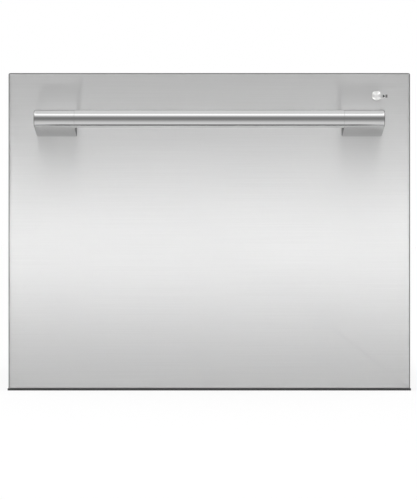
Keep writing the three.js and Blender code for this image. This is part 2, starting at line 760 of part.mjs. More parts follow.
function controlStrip() {
  const rear = linerInside - fit;
  const wall = 1.5;
  const outer = block(-stripHalf, stripHalf, stripFront, rear, stripBottom, stripTop);
  const hollow = block(-stripHalf + wall, stripHalf - wall, stripFront + wall, rear - wall,
    stripBottom - 1, stripTop - wall);
  const holes = keyPlaces.map((x) => block(x - keyLength / 2 - fit, x + keyLength / 2 + fit,
    keyY - keyWidth / 2 - fit, keyY + keyWidth / 2 + fit, stripTop - 4, stripTop + 1));
  return cut(outer, hollow, ...holes);
}

// Circuit board under the keys, on feet that stand on the strip's seat.
function controlBoard() {
  const top = stripTop - 9;
  const plate = block(-stripHalf + 3, stripHalf - 3, stripFront + 2.2, linerInside - 2.8, top - 1.6, top);
  const switches = keyPlaces.map((x) => block(x - 3, x + 3, keyY - 2.5, keyY + 2.5, top - 0.5, top + 1.8));
  const feet = centred(3, stripLength / 2 - 12).map((x) =>
    block(x - 3, x + 3, stripFront + 3, linerInside - 4, stripBottom + 0.2, top - 1));
  return join(plate, ...switches, ...feet);
}

// A key with the flange that traps it under the strip's top.
function programKey() {
  const under = stripTop - 1.5 - fit;
  const cap = block(-keyLength / 2, keyLength / 2, -keyWidth / 2, keyWidth / 2, under - 1, keyTop);
  const flange = block(-keyLength / 2 - 1.2, keyLength / 2 + 1.2, -keyWidth / 2 - 0.9,
    keyWidth / 2 + 0.9, under - 1.2, under);
  const plunger = block(-1.5, 1.5, -1.5, 1.5, stripTop - 6, under - 1);
  return join(cap, flange, plunger);
}

// ---------- Start button: depths are from the door's face ----------
const buttonLip = 1.2;
const buttonStem = 3;
const stemEnd = 11.6;
const behindPanel = panelSheet + fit;

function startButton() {
  return turned([[0, -buttonProud - 0.25], [buttonRadius * 0.6, -buttonProud - 0.15],
    [buttonRadius - 0.7, -buttonProud], [buttonRadius, -buttonProud + 0.6], [buttonRadius, behindPanel],
    [buttonRadius + buttonLip, behindPanel], [buttonRadius + buttonLip, behindPanel + 1.2],
    [buttonStem, behindPanel + 1.2], [buttonStem, stemEnd], [0, stemEnd]], 'y', 20);
}

function buttonGuide() {
  const bore = buttonRadius + buttonLip + runClearance;
  const out = bore + 2;
  const stemBore = buttonStem + runClearance;
  const ring = turned([[bore, behindPanel], [out, behindPanel], [out, 9.6], [stemBore, 9.6],
    [stemBore, 8], [bore, 8], [bore, behindPanel]], 'y', 20);
  const legs = [-1, 1].map((side) => block(-3, 3, 8.5, linerInside - doorFront - fit,
    side * (out - 2) - 1.5, side * (out - 2) + 1.5));
  return join(ring, ...legs);
}

function switchBoard() {
  const switchTop = stemEnd + buttonTravel + fit;
  const plate = block(-13, 13, switchTop + 1.8, switchTop + 3.4, -6.5, 6.5);
  const button = block(-3, 3, switchTop, switchTop + 2.3, -3, 3);
  const posts = [-10, 10].map((x) =>
    rod(2, switchTop + 3, linerInside - doorFront - fit, 'y', 8).translate(x, 0, 0));
  return join(plate, button, ...posts);
}

// ---------- Handle ----------
// An end of the handle: the bar's last length and the web behind it, one section drawn across.
function handlePost() {
  const foot = doorFront - fit;
  const footLow = -barRadius - postFoot;
  const footBlunt = 2; // bevel on the foot's lower edge
  const reach = Math.hypot(foot - barY, footLow);
  const tangent = Math.atan2(footLow, foot - barY) - Math.acos(barRadius / reach);
  const section = new THREE.Shape();
  section.moveTo(foot, barHeight + barRadius);
  section.lineTo(barY, barHeight + barRadius);
  section.absarc(barY, barHeight, barRadius, Math.PI / 2, 2 * Math.PI + tangent);
  section.lineTo(foot - footBlunt, barHeight + footLow + footBlunt / 5);
  section.lineTo(foot, barHeight + footLow + footBlunt);
  const edge = 0.8;
  const body = new THREE.ExtrudeGeometry(section, {
    depth: postWidth - 2 * edge, curveSegments: 10,
    bevelSize: edge, bevelThickness: edge, bevelOffset: -edge, bevelSegments: 1,
  });
  const across = new THREE.Matrix4().makeBasis(
    new THREE.Vector3(0, 1, 0), new THREE.Vector3(0, 0, 1), new THREE.Vector3(1, 0, 0));
  body.applyMatrix4(across).translate(postInner + edge, 0, 0);
  const spigot = rod(barRadius - barWall - fit, postInner - spigotLength, postInner + 2, 'x', 16)
    .translate(0, barY, barHeight);
  const screws = screwHeights.map((z) =>
    rod(2.6, doorFront - 14, doorFront + 1, 'y', 6).translate(screwX, 0, z));
  return cut(join(body, spigot), ...screws);
}

function handleBar() {
  const inside = barRadius - barWall;
  const end = postInner - fit;
  const wall = [[inside, -end], [barRadius, -end], [barRadius, end], [inside, end], [inside, -end]];
  return turned(wall, 'x', 24);
}

// ---------- Detergent dispenser, on the front wall inside the tub ----------
const dispenserHigh = tubRim - dispenserDrop;
const dispenserLow = dispenserHigh - dispenserHeight;
const cupLow = dispenserLow + 15;
const cupAt = [cupMargin - dispenserHalf, cupLow, cupMargin - dispenserHalf + cupWide, cupLow + cupTall];
const flapZ = cupLow - flapDrop;
const capZ = cupLow + cupTall / 2 - 0.5;
const dispenserFront = tubFront + tubWall + leanAt(dispenserLow) + fit;
const dispenserBack = dispenserFront + 23;
const flapY = dispenserBack + 2.2 + fit;
const capRadius = 18;

function dispenser() {
  const body = prism(rectangle(-dispenserHalf, dispenserLow, dispenserHalf, dispenserHigh, 6), 'y',
    dispenserFront, dispenserBack, 2);
  const cup = prism(rectangle(cupAt[0], cupAt[1], cupAt[2], cupAt[3], 8), 'y',
    dispenserBack - 17, dispenserBack + 1, 3);
  const well = rod(capRadius - 4, dispenserBack - 11, dispenserBack + 1, 'y', 16)
    .translate(capReach, 0, capZ);
  const ears = [cupAt[0] - 5, cupAt[2] + 2].map((x) =>
    block(x, x + 3, dispenserBack - 1, dispenserBack + 6, flapZ - 3, flapZ + 4));
  const pinHoles = rod(1.6 + runClearance, cupAt[0] - 8, cupAt[2] + 8, 'x', 10)
    .translate(0, flapY, flapZ);
  return cut(join(body, ...ears), cup, well, pinHoles);
}

function detergentFlap() {
  const [x0, , x1, z1] = cupAt;
  const plate = prism(rectangle(x0 - 1.4, flapZ, x1 + 1.4, z1 + 2, 3), 'y',
    dispenserBack + fit, dispenserBack + fit + 2.4, 2);
  const barrel = rod(2.2, x0 - 1.4, x1 + 1.4, 'x', 10).translate(0, flapY, flapZ);
  const pins = rod(1.6, x0 - 4.6, x1 + 4.6, 'x', 10).translate(0, flapY, flapZ);
  const catchTab = block((x0 + x1) / 2 - 6, (x0 + x1) / 2 + 6, dispenserBack + fit + 2,
    dispenserBack + fit + 5, z1 - 4, z1 + 2);
  return join(plate, barrel, pins, catchTab).translate(0, -flapY, -flapZ);
}

function rinseAidCap() {
  const turn = turned([[0, -8], [capRadius - 5, -8], [capRadius - 5, fit], [capRadius, fit],
    [capRadius, 3], [capRadius - 1, 4], [0, 4]], 'y', 16);
  return join(turn, block(-capRadius + 4, capRadius - 4, 3.5, 8, -2, 2));
}

// ---------- Wash system: turned pieces stand on the tub's middle ----------
function washPump() {
  const flange = sumpBottom - fit;
  return turned([[0, 14], [50, 14], [55, 18], [55, flange - 6], [sumpRadius - 6, flange - 4],
    [sumpRadius - 6, flange], [pumpBore - fit, flange], [pumpBore - fit, sumpBottom + 5],
    [0, sumpBottom + 5]], 'z', 20);
}

function sprayHub() {
  const base = sumpBottom + 5 + fit;
  const top = armBottom + armThickness + 4;
  return turned([[0, base], [pumpBore - 2, base], [pumpBore - 2, base + 3], [hubRadius, base + 8],
    [hubRadius, armBottom - 3], [spindleRadius, armBottom - 3], [spindleRadius, top],
    [spindleRadius + 3, top], [spindleRadius + 3, top + 2], [spindleRadius, top + 4], [0, top + 4]], 'z', 16);
}

// Dished mesh plate over the sump: its rim lies on the floor, its deck just below.
const filterDeck = sumpLip - 1;
const filterSheet = 1.5;

function filterPlate() {
  const rimLow = sumpLip + fit + (filterRadius - sumpRadius + tubWall) * floorSlope * 1.2;
  const dish = turned([[0, filterDeck - filterSheet], [sumpRadius - 14, filterDeck - filterSheet],
    [sumpRadius - 5, sumpLip + fit], [filterRadius, rimLow], [filterRadius, rimLow + filterSheet],
    [sumpRadius - 5, sumpLip + fit + filterSheet], [sumpRadius - 14, filterDeck], [0, filterDeck]], 'z', 24);
  const hubHole = rod(hubRadius + 2 * fit, filterDeck - 5, filterDeck + 5, 'z', 16);
  const filterHole = rod(drainFilterRadius + fit, filterDeck - 5, filterDeck + 5, 'z', 12)
    .translate(0, drainFilterY, 0);
  return cut(dish, hubHole, filterHole);
}

function drainFilter() {
  const low = sumpBottom + tubWall + fit;
  const seat = filterDeck + fit;
  const r = drainFilterRadius;
  const cup = turned([[0, low], [r - 1, low], [r, seat], [r + 3, seat], [r + 3, seat + 1.5],
    [r - 2, seat + 1.5], [r - 3, low + 2], [0, low + 2]], 'z', 12);
  const grip = block(-r, r, -1.5, 1.5, seat, seat + 9);
  const slots = [0, 90].map((angle) => block(-r - 2, r + 2, -1.5, 1.5, low + 6, low + 20)
    .rotateZ(THREE.MathUtils.degToRad(angle)));
  return join(cut(cup, ...slots), grip);
}

function sprayArm() {
  const blade = new THREE.Shape();
  const tip = 15;
  blade.moveTo(0, -24);
  blade.quadraticCurveTo(armReach * 0.55, -30, armReach - tip, -tip);
  blade.absarc(armReach - tip, 0, tip, -Math.PI / 2, Math.PI / 2);
  blade.quadraticCurveTo(armReach * 0.5, 10, 0, 24);
  blade.quadraticCurveTo(-armReach * 0.55, 30, -armReach + tip, tip);
  blade.absarc(-armReach + tip, 0, tip, Math.PI / 2, 1.5 * Math.PI);
  blade.quadraticCurveTo(-armReach * 0.5, -10, 0, -24);
  const edge = 2;
  const plate = new THREE.ExtrudeGeometry(blade, {
    depth: armThickness - 2 * edge, curveSegments: 4,
    bevelSize: edge, bevelThickness: edge, bevelOffset: -edge, bevelSegments: 1,
  }).translate(0, 0, edge);
  const hub = rod(hubRadius + 10, -2.6, armThickness + 3.6, 'z', 20);
  const jets = [60, 105, 150, 190].flatMap((x, i) => [[x, -4 + i], [-x, 4 - i]]).map(([x, y]) =>
    turned([[0, 5], [6, 5], [4.5, armThickness + 1.6], [0, armThickness + 1.6]], 'z', 6)
      .translate(x, y, 0));
  const bore = rod(spindleRadius + runClearance, -5, armThickness + 8, 'z', 20);
  return cut(join(plate, hub, ...jets), bore);
}

// Tube element round the sump, with its two ends led in to the filter plate.
function heater() {
  const start = THREE.MathUtils.degToRad(-75);
  const end = THREE.MathUtils.degToRad(255);
  const steps = 18;
  const at = (i, radius, z) => {
    const angle = start + ((end - start) * i) / steps;
    return [radius * Math.cos(angle), radius * Math.sin(angle), z];
  };
  const inner = filterRadius + heaterTube;
  const drop = -(heaterRadius - inner) * floorSlope;
  const ring = [...Array(steps + 1)].map((_, i) => at(i, heaterRadius, 0));
  return bentWire([at(0, inner, drop), ...ring, at(steps, inner, drop)], heaterTube);
}

const controllerInset = 33; // box to the tub's wall line
const controllerWidth = 128;
const controllerLength = 170;
const controllerHeight = 48;
const controllerShift = -40;
const floorUnder = (radius) => floorEdge - floorFall + (radius - sumpRadius) * floorSlope;

function drainPump() {
  const can = rod(26, 14, 80, 'x', 14);
  const volute = rod(30, 0, 14.5, 'x', 14);
  const inlet = rod(8, -5, 2, 'x', 8).translate(0, 0, 24);
  const outlet = rod(8, 10, 52, 'y', 8).translate(7, 0, -18);
  const web = prism(rectangle(20, -8, 26, 8), 'z', 20,
    floorUnder(drainPumpReach + 20) - fit - drainPumpZ, 2);
  return join(can, volute, inlet, outlet, web);
}

function controllerBox() {
  const high = floorUnder(tubHalf - controllerInset - controllerWidth - 3) - fit;
  const low = high - controllerHeight;
  const outer = -tubHalf + controllerInset;
  const inner = outer + controllerWidth;
  const half = controllerLength / 2;
  const box = prism(rectangle(outer, -half, inner, half, 6), 'z', low, high - 4, 2);
  const cover = prism(rectangle(outer - 3, -half - 3, inner + 3, half + 3, 8), 'z', high - 10, high, 2);
  box.translate(0, controllerShift, 0);
  cover.translate(0, controllerShift, 0);
  const plugs = centred(3, 50).map((y) => block(outer - 4, outer + 4, y + controllerShift - 14,
    y + controllerShift + 14, low + 8, low + 24));
  return join(box, cover, ...plugs);
}

// ---------- Racks ----------
const rackHalf = tubHalf - rackGap;
const rackFront = tubFront + rackFrontGap;
const rackRear = tubRear - rackRearGap;
const cupHinge = rackRim + cupLift;
const lengthwiseZ = rackFloor + wire * 0.7; // lengthways wires lie welded on the crossways ones
const foldZ = lengthwiseZ + wire + 0.5;
const crossways = [...Array(7)].map((_, i) => rackFront + 28 + (i * (rackRear - rackFront - 56)) / 6);
const lengthways = centred(5, (rackHalf - 30) / 2);
const foldRows = [rackFront + 65, rackFront + 255];
const foldClips = [lengthways[0], lengthways[2]];
const foldMargin = 17; // outer clip to the first tine
const foldCount = 1 + Math.floor((foldClips[1] - foldClips[0] - 2 * foldMargin) / tinePitch);
const foldTines = [...Array(foldCount)].map((_, i) => foldClips[0] + foldMargin + i * tinePitch);
const cupHingeX = rackHalf - 2;
const cupFront = rackFront + 28;
const cupPitch = 48;
const cupWires = [...Array(7)].map((_, i) => cupFront + 16 + i * cupPitch);
const cupRear = cupWires.at(-1) + 16;
const cupClips = [1, 4].map((i) => cupWires[i] + cupPitch / 2);

// A moulded hinge clip: a block with a bore along x or y.
function clip(x, y, z, axis) {
  const half = 5.5;
  const bore = rod(wire / 2 + runClearance, -2 * half, 2 * half, axis, 8).translate(x, y, z);
  return cut(block(x - half, x + half, y - half, y + half, z - half, z + half), bore);
}

function baseRack() {
  const bend = 14;
  const hoop = (half, floor, place) => bentWire([
    place(-half, rackRim), place(-half + 3, floor + bend), place(-half + bend, floor),
    place(half - bend, floor), place(half - 3, floor + bend), place(half, rackRim)], wire);
  const rackMiddle = (rackFront + rackRear) / 2;
  const halfLength = (rackRear - rackFront) / 2;
  const hoops = [
    ...crossways.map((y) => hoop(rackHalf, rackFloor, (x, z) => [x, y, z])),
    ...lengthways.map((x) => hoop(halfLength, lengthwiseZ, (y, z) => [x, rackMiddle + y, z])),
  ];
  const rim = bentWire(roundedLoop(rackHalf, halfLength, 22, 3).map(([x, y]) =>
    [x, rackMiddle + y, rackRim]), wire, true);
  const tine = (x, y) => rod(tineWire / 2, rackFloor, rackFloor + tineHeight, 'z', 5).translate(x, y, 0);
  const tines = [
    ...[4, 5].flatMap((row) => [...Array(5)].map((_, i) =>
      tine(rackHalf - 65 - i * tinePitch, crossways[row]))),
    ...[2, 5].flatMap((row) => foldTines.map((x) => tine(x, crossways[row]))),
  ];
  const feet = [-1, 1].flatMap((side) => [crossways[0], crossways.at(-1)].map((y) =>
    rod(5, floorEdge + tubWall, rackFloor + 1, 'z', 6).translate(side * lengthways.at(-1), y, 0)));
  const foldClipBlocks = foldRows.flatMap((y) => foldClips.map((x) => clip(x, y, foldZ, 'x')));
  const cupHolders = [-1, 1].flatMap((side) => cupClips.flatMap((y) => [
    bentWire([[side * rackHalf, y, rackRim - 1], [side * rackHalf, y, cupHinge - 3]], wire),
    clip(side * cupHingeX, y, cupHinge, 'y'),
    bentWire([[side * rackHalf, y, cupHinge - 18], [side * (cupHingeX - 8), y, cupHinge - 9],
      [side * (cupHingeX - 20), y, cupHinge - wire - 0.5]], wire),
  ]));
  return join(...hoops, rim, ...tines, ...feet, ...foldClipBlocks, ...cupHolders);
}

// Shelf for cups, drawn from its hinge wire: it folds up against the tub's wall.
function cupRack() {
  const half = (cupRear - cupFront) / 2;
  const middle = (cupRear + cupFront) / 2;
  const edge = bentWire(roundedLoop(cupReach / 2, half, 12, 2).map(([x, y]) =>
    [x - cupReach / 2, y + middle, 0]), wire, true);
  const bars = cupWires.map((y) => bentWire([[0, y, 0], [-cupReach, y, 0]], tineWire));
  const spine = bentWire([[-cupReach * 0.55, cupFront, 0.9], [-cupReach * 0.55, cupRear, 0.9]], tineWire);
  return join(edge, ...bars, spine);
}

// A row of plate tines on a turning rod, drawn from the rod.
function foldingTines() {
  const axle = rod(wire / 2, foldClips[0] - 8, foldClips[1] + 8, 'x', 6);
  const tines = foldTines.map((x) => rod(tineWire / 2, 0, tineHeight - 8, 'z', 5).translate(x, 0, 0));
  return join(axle, ...tines);
}

function cutleryBasket() {
  const [w, l, h] = [basketWidth / 2, basketLength / 2, basketHeight];
  const columns = 2;
  const rows = 3;
  const cellW = (basketWidth - (columns + 1) * basketWall) / columns;
  const cellL = (basketLength - (rows + 1) * basketWall) / rows;
  const columnsAt = centred(columns, cellW + basketWall);
  const rowsAt = centred(rows, cellL + basketWall);
  const cells = columnsAt.flatMap((x) => rowsAt.map((y) =>
    prism(rectangle(x - cellW / 2, y - cellL / 2, x + cellW / 2, y + cellL / 2), 'z', basketWall, h + 1)));
  const [low, high] = [16, basketHeight - 28];
  const windows = [
    ...rowsAt.map((y) => block(-w - 1, w + 1, y - cellL / 2 + 9, y + cellL / 2 - 9, low, high)),
    ...columnsAt.map((x) => block(x - cellW / 2 + 7, x + cellW / 2 - 7, -l - 1, l + 1, low, high)),
  ];
  const drains = columnsAt.flatMap((x) => rowsAt.map((y) => block(x - 9, x + 9, y - 9, y + 9, -1, 4)));
  const grip = prism(frame(rectangle(-34, h - 12, 34, h + 22, 10), rectangle(-27, h - 6, 27, h + 15, 6)),
    'x', -basketWall / 2, basketWall / 2, 3);
  return join(cut(prism(rectangle(-w, -l, w, l, 5), 'z', 0, h, 3), ...cells, ...windows, ...drains), grip);
}

// ---------- Assembly ----------
const product = new THREE.Group();
const chassis = new THREE.Group();
const drawer = new THREE.Group();
const washSystem = new THREE.Group();
product.add(chassis, drawer);
drawer.add(washSystem);
washSystem.position.set(0, tubMiddle, 0);

add(chassis, 'base_tray', baseTray(), darkPlastic);
addPair(chassis, 'side_panel', sidePanel(), galvanised);
add(chassis, 'top_panel', topPanel(), galvanised);
add(chassis, 'rear_panel', rearPanel(), galvanised);
add(chassis, 'trim_seal', trimSeal(), rubber);
add(chassis, 'inlet_valve', inletValve(), whitePlastic, [inletAt[0], chassisRear, inletAt[1]]);
add(chassis, 'drain_spigot', drainSpigot(), greyPlastic, [drainAt[0], chassisRear, drainAt[1]]);
add(chassis, 'terminal_box', terminalBox(), darkPlastic, [terminalAt[0], chassisRear, terminalAt[1]]);
addPair(chassis, 'mount_tab', mountTab(), galvanised);
addPair(chassis, 'rail_bracket', railBracket(), galvanised);
addPair(chassis, 'fixed_rail', fixedRail(), galvanised);
addPair(chassis, 'lid_guide', lidGuide(), galvanised);
addPair(chassis, 'lid_actuator', lidActuator(), whitePlastic);
addPair(product, 'middle_rail', middleRail(), galvanised);
add(product, 'lid', lid(), greyPlastic);
add(product, 'lid_seal', lidSeal(), rubber);

addPair(drawer, 'drawer_rail', drawerRail(), galvanised);
addPair(drawer, 'tub_bracket', tubBracket(), galvanised);
add(drawer, 'tub', tub(), greyPlastic);
add(drawer, 'door_outer_panel', doorOuterPanel(), stainless);
add(drawer, 'door_liner', doorLiner(), greyPlastic);
add(drawer, 'tub_mount_plate', tubMountPlate(), greyPlastic);
add(drawer, 'control_strip', controlStrip(), darkPlastic);
add(drawer, 'control_board', controlBoard(), board);
keyPlaces.forEach((x, i) => add(drawer, `program_key_${i + 1}`, programKey(), greyPlastic, [x, keyY, 0]));
const buttonPlace = [buttonX, doorFront, buttonZ];
add(drawer, 'start_button', startButton(), stainless, buttonPlace);
add(drawer, 'button_guide', buttonGuide(), whitePlastic, buttonPlace);
add(drawer, 'switch_board', switchBoard(), board, buttonPlace);
add(drawer, 'handle_bar', handleBar(), stainless, [0, barY, barHeight]);
addPair(drawer, 'handle_post', handlePost(), stainless);
add(drawer, 'detergent_dispenser', dispenser(), greyPlastic);
add(drawer, 'detergent_flap', detergentFlap(), whitePlastic, [0, flapY, flapZ]);
add(drawer, 'rinse_aid_cap', rinseAidCap(), whitePlastic, [capReach, dispenserBack, capZ]);

add(washSystem, 'wash_pump', washPump(), darkPlastic);
add(washSystem, 'spray_hub', sprayHub(), greyPlastic);
add(washSystem, 'filter_plate', filterPlate(), stainless);
add(washSystem, 'drain_filter', drainFilter(), whitePlastic, [0, drainFilterY, 0]);
add(washSystem, 'heater', heater(), stainless, [0, 0, heaterZ]);
add(washSystem, 'spray_arm', sprayArm(), greyPlastic, [0, 0, armBottom]);
add(washSystem, 'drain_pump', drainPump(), darkPlastic, [drainPumpReach, 0, drainPumpZ]);
add(washSystem, 'controller_box', controllerBox(), darkPlastic);

add(drawer, 'base_rack', baseRack(), coatedWire);
add(drawer, 'front_folding_tines', foldingTines(), coatedWire, [0, foldRows[0], foldZ]);
add(drawer, 'rear_folding_tines', foldingTines(), coatedWire, [0, foldRows[1], foldZ]);
add(drawer, 'right_cup_rack', cupRack(), coatedWire, [cupHingeX, 0, cupHinge]);
add(drawer, 'left_cup_rack', cupRack(), coatedWire, [-cupHingeX, 0, cupHinge]).scale.x = -1;
add(drawer, 'cutlery_basket', cutleryBasket(), greyPlastic,
  [rackHalf - basketInset, rackFront + basketSetback, lengthwiseZ + wire / 2 + fit]);

export default product;
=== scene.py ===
import json
import math

import bmesh
import bpy
from mathutils import Matrix, Vector

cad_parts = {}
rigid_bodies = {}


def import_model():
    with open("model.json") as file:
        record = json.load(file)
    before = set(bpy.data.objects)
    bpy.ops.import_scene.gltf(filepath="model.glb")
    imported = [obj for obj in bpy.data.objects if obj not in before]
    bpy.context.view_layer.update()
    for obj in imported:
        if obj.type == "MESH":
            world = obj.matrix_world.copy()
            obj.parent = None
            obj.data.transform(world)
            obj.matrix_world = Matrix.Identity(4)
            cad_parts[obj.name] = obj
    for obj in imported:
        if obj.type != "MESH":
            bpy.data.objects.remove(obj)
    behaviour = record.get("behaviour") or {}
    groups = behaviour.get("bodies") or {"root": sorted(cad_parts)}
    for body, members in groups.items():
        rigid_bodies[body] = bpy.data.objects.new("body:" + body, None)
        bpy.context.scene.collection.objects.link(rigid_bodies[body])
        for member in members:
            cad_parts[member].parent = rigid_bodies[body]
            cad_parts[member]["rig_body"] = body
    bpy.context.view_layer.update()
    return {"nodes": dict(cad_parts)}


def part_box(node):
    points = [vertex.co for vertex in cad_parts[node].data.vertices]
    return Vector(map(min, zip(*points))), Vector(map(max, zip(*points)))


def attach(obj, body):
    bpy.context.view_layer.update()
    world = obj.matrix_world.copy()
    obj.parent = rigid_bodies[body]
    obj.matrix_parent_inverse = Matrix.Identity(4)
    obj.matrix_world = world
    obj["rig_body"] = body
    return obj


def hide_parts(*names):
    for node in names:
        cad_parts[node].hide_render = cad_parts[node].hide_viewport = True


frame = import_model()
scene = bpy.context.scene

# ---------- Studio ----------
# A white floor that runs into a white background, a level camera at the height of the door's
# middle, and soft light from all round. Bright metal mirrors the grey walls of the studio.
camera_data = bpy.data.cameras.new("camera")
camera_data.sensor_fit = "AUTO"
camera_data.sensor_width = 36
camera_data.lens = 160.15
camera_data.shift_y = -0.0356
camera = bpy.data.objects.new("camera", camera_data)
camera.location = (-0.0012, -3.598, 0.235)
camera.rotation_euler = (math.radians(90), 0, 0)
scene.collection.objects.link(camera)
scene.camera = camera
scene.view_settings.view_transform = "Standard"

world = bpy.data.worlds.new("studio")
world.use_nodes = True
scene.world = world
world_tree = world.node_tree
world_tree.nodes.clear()


def added(tree, kind, **settings):
    """A new shader node with its settings and the values of its sockets."""
    node = tree.nodes.new("ShaderNode" + kind)
    for key, value in settings.items():
        if hasattr(node, key):
            setattr(node, key, value)
        else:
            node.inputs[key.replace("_", " ")].default_value = value
    return node


def joined(tree, *pairs):
    """Links sockets, given as (from, to) pairs. A node stands for its first output."""
    for source, target in pairs:
        tree.links.new(getattr(source, "outputs", [source])[0], target)


# What bright metal sees at each height of the studio, from straight down to straight up.
front_walls = [(-90, 0.02), (-85, 0.03), (-81, 0.62), (-67, 0.86), (-52, 0.80), (-37, 0.62),
               (-23, 0.40), (-11, 0.27), (5, 0.24), (17, 0.31), (29, 0.60), (41, 1.10), (51, 1.45),
               (61, 1.45), (66, 0.84), (74, 0.80), (90, 0.87)]
rear_walls = [(-90, 0.02), (-74, 0.03), (-66, 0.50), (-20, 0.50), (0, 0.35), (30, 0.50),
              (60, 0.78), (90, 0.87)]


def wall_ramp(walls):
    """A ramp from straight down to straight up with the levels of a wall."""
    ramp = added(world_tree, "ValToRGB")
    elements = ramp.color_ramp.elements
    while len(elements) > 1:
        elements.remove(elements[-1])
    for i, (height, level) in enumerate(walls):
        place = (math.sin(math.radians(height)) + 1) / 2
        element = elements[0] if i == 0 else elements.new(place)
        element.position = place
        element.color = (level, level, level, 1)
    return ramp


light_path = added(world_tree, "LightPath")
direction = added(world_tree, "TexCoord")
split = added(world_tree, "SeparateXYZ")
upness = added(world_tree, "MapRange", From_Min=-1.0, From_Max=1.0)
rearness = added(world_tree, "MapRange", From_Min=-0.15, From_Max=0.5)
sideways = added(world_tree, "Math", operation="ABSOLUTE")
side_level = added(world_tree, "MapRange", From_Min=0.3, From_Max=0.7, To_Min=1.0, To_Max=1.3)
front_ramp, rear_ramp = wall_ramp(front_walls), wall_ramp(rear_walls)
walls_mix = added(world_tree, "Mix", data_type="RGBA")
plain_light = added(world_tree, "Background", Color=(1, 1, 1, 1), Strength=1.0)
mirrored = added(world_tree, "Background", Strength=1.0)
choice = added(world_tree, "MixShader")
surroundings = added(world_tree, "OutputWorld")
joined(world_tree,
       (direction.outputs["Generated"], split.inputs[0]),
       (split.outputs["Z"], upness.inputs["Value"]),
       (split.outputs["Y"], rearness.inputs["Value"]),
       (upness, front_ramp.inputs[0]),
       (upness, rear_ramp.inputs[0]),
       (rearness, walls_mix.inputs["Factor"]),
       (front_ramp, walls_mix.inputs["A"]),
       (rear_ramp, walls_mix.inputs["B"]),
       (split.outputs["X"], sideways.inputs[0]),
       (sideways, side_level.inputs["Value"]),
       (walls_mix.outputs["Result"], mirrored.inputs["Color"]),
       (side_level, mirrored.inputs["Strength"]),
       (light_path.outputs["Is Glossy Ray"], choice.inputs["Fac"]),
       (plain_light, choice.inputs[1]),
       (mirrored, choice.inputs[2]),
       (choice, surroundings.inputs["Surface"]))

floor_shape = bmesh.new()
bmesh.ops.create_grid(floor_shape, x_segments=1, y_segments=1, size=30)
floor_mesh = bpy.data.meshes.new("studio_floor")
floor_shape.to_mesh(floor_mesh)
floor_shape.free()
floor = bpy.data.objects.new("studio_floor", floor_mesh)
floor.data.transform(Matrix.Translation((0, 0, -0.0003)))
floor.visible_glossy = False
scene.collection.objects.link(floor)

floor_white = bpy.data.materials.new("studio white")
floor_white.use_nodes = True
floor_tree = floor_white.node_tree
floor_tree.nodes.clear()
floor_path = added(floor_tree, "LightPath")
floor_seen = added(floor_tree, "Math", operation="MAXIMUM")
floor_share = added(floor_tree, "Math", operation="MULTIPLY")
floor_share.inputs[1].default_value = 0.8
floor_matt = added(floor_tree, "BsdfDiffuse", Color=(0.96, 0.96, 0.96, 1))
floor_glow = added(floor_tree, "Emission", Color=(1, 1, 1, 1), Strength=1.0)
floor_mix = added(floor_tree, "MixShader")
floor_out = added(floor_tree, "OutputMaterial")
joined(floor_tree,
       (floor_path.outputs["Is Camera Ray"], floor_seen.inputs[0]),
       (floor_path.outputs["Is Transmission Ray"], floor_seen.inputs[1]),
       (floor_seen, floor_share.inputs[0]),
       (floor_share, floor_mix.inputs["Fac"]),
       (floor_matt, floor_mix.inputs[1]),
       (floor_glow, floor_mix.inputs[2]),
       (floor_mix, floor_out.inputs["Surface"]))
floor.data.materials.append(floor_white)


def lamp(name, place, facing, width, height, level, lit=None, shading=None):
    """A soft rectangular lamp of one even level, for all pieces or for a collection of them."""
    data = bpy.data.lights.new(name, "AREA")
    data.shape = "RECTANGLE"
    data.size = width
    data.size_y = height
    data.energy = level * math.pi * width * height
    obj = bpy.data.objects.new(name, data)
    obj.location = place
    obj.rotation_euler = (Vector(facing) - Vector(place)).to_track_quat("-Z", "Y").to_euler()
    obj.visible_camera = False
    obj.light_linking.receiver_collection = lit
    obj.light_linking.blocker_collection = shading
    scene.collection.objects.link(obj)
    return obj


overhead = lamp("overhead", (-0.8, -1.2, 3.2), (0, 0, 0.2), 2.6, 2.6, 0.5)
overhead.visible_glossy = False


def finish(name, slot_name, metallic=0.0, **sockets):
    """A material, with its Principled shader and its tree. The slot name is not used."""
    material = bpy.data.materials.new(name)
    material.use_nodes = True
    shader = material.node_tree.nodes["Principled BSDF"]
    shader.inputs["Metallic"].default_value = metallic
    for key, value in sockets.items():
        shader.inputs[key.replace("_", " ")].default_value = value
    return material, shader, material.node_tree


FLOAT, VECTOR, COLOR = "NodeSocketFloat", "NodeSocketVector", "NodeSocketColor"


def effect(name):
    """An empty shader node group for a surface, with the sockets that it takes from and feeds."""
    tree = bpy.data.node_groups.new(name, "ShaderNodeTree")
    for label, kind in (("Coordinates", VECTOR), ("Dark", COLOR), ("Light", COLOR),
                        ("Smooth", FLOAT), ("Rough", FLOAT), ("Depth", FLOAT)):
        tree.interface.new_socket(label, in_out="INPUT", socket_type=kind)
    for label, kind in (("Color", COLOR), ("Roughness", FLOAT), ("Normal", VECTOR)):
        tree.interface.new_socket(label, in_out="OUTPUT", socket_type=kind)
    return tree, tree.nodes.new("NodeGroupInput").outputs, tree.nodes.new("NodeGroupOutput").inputs


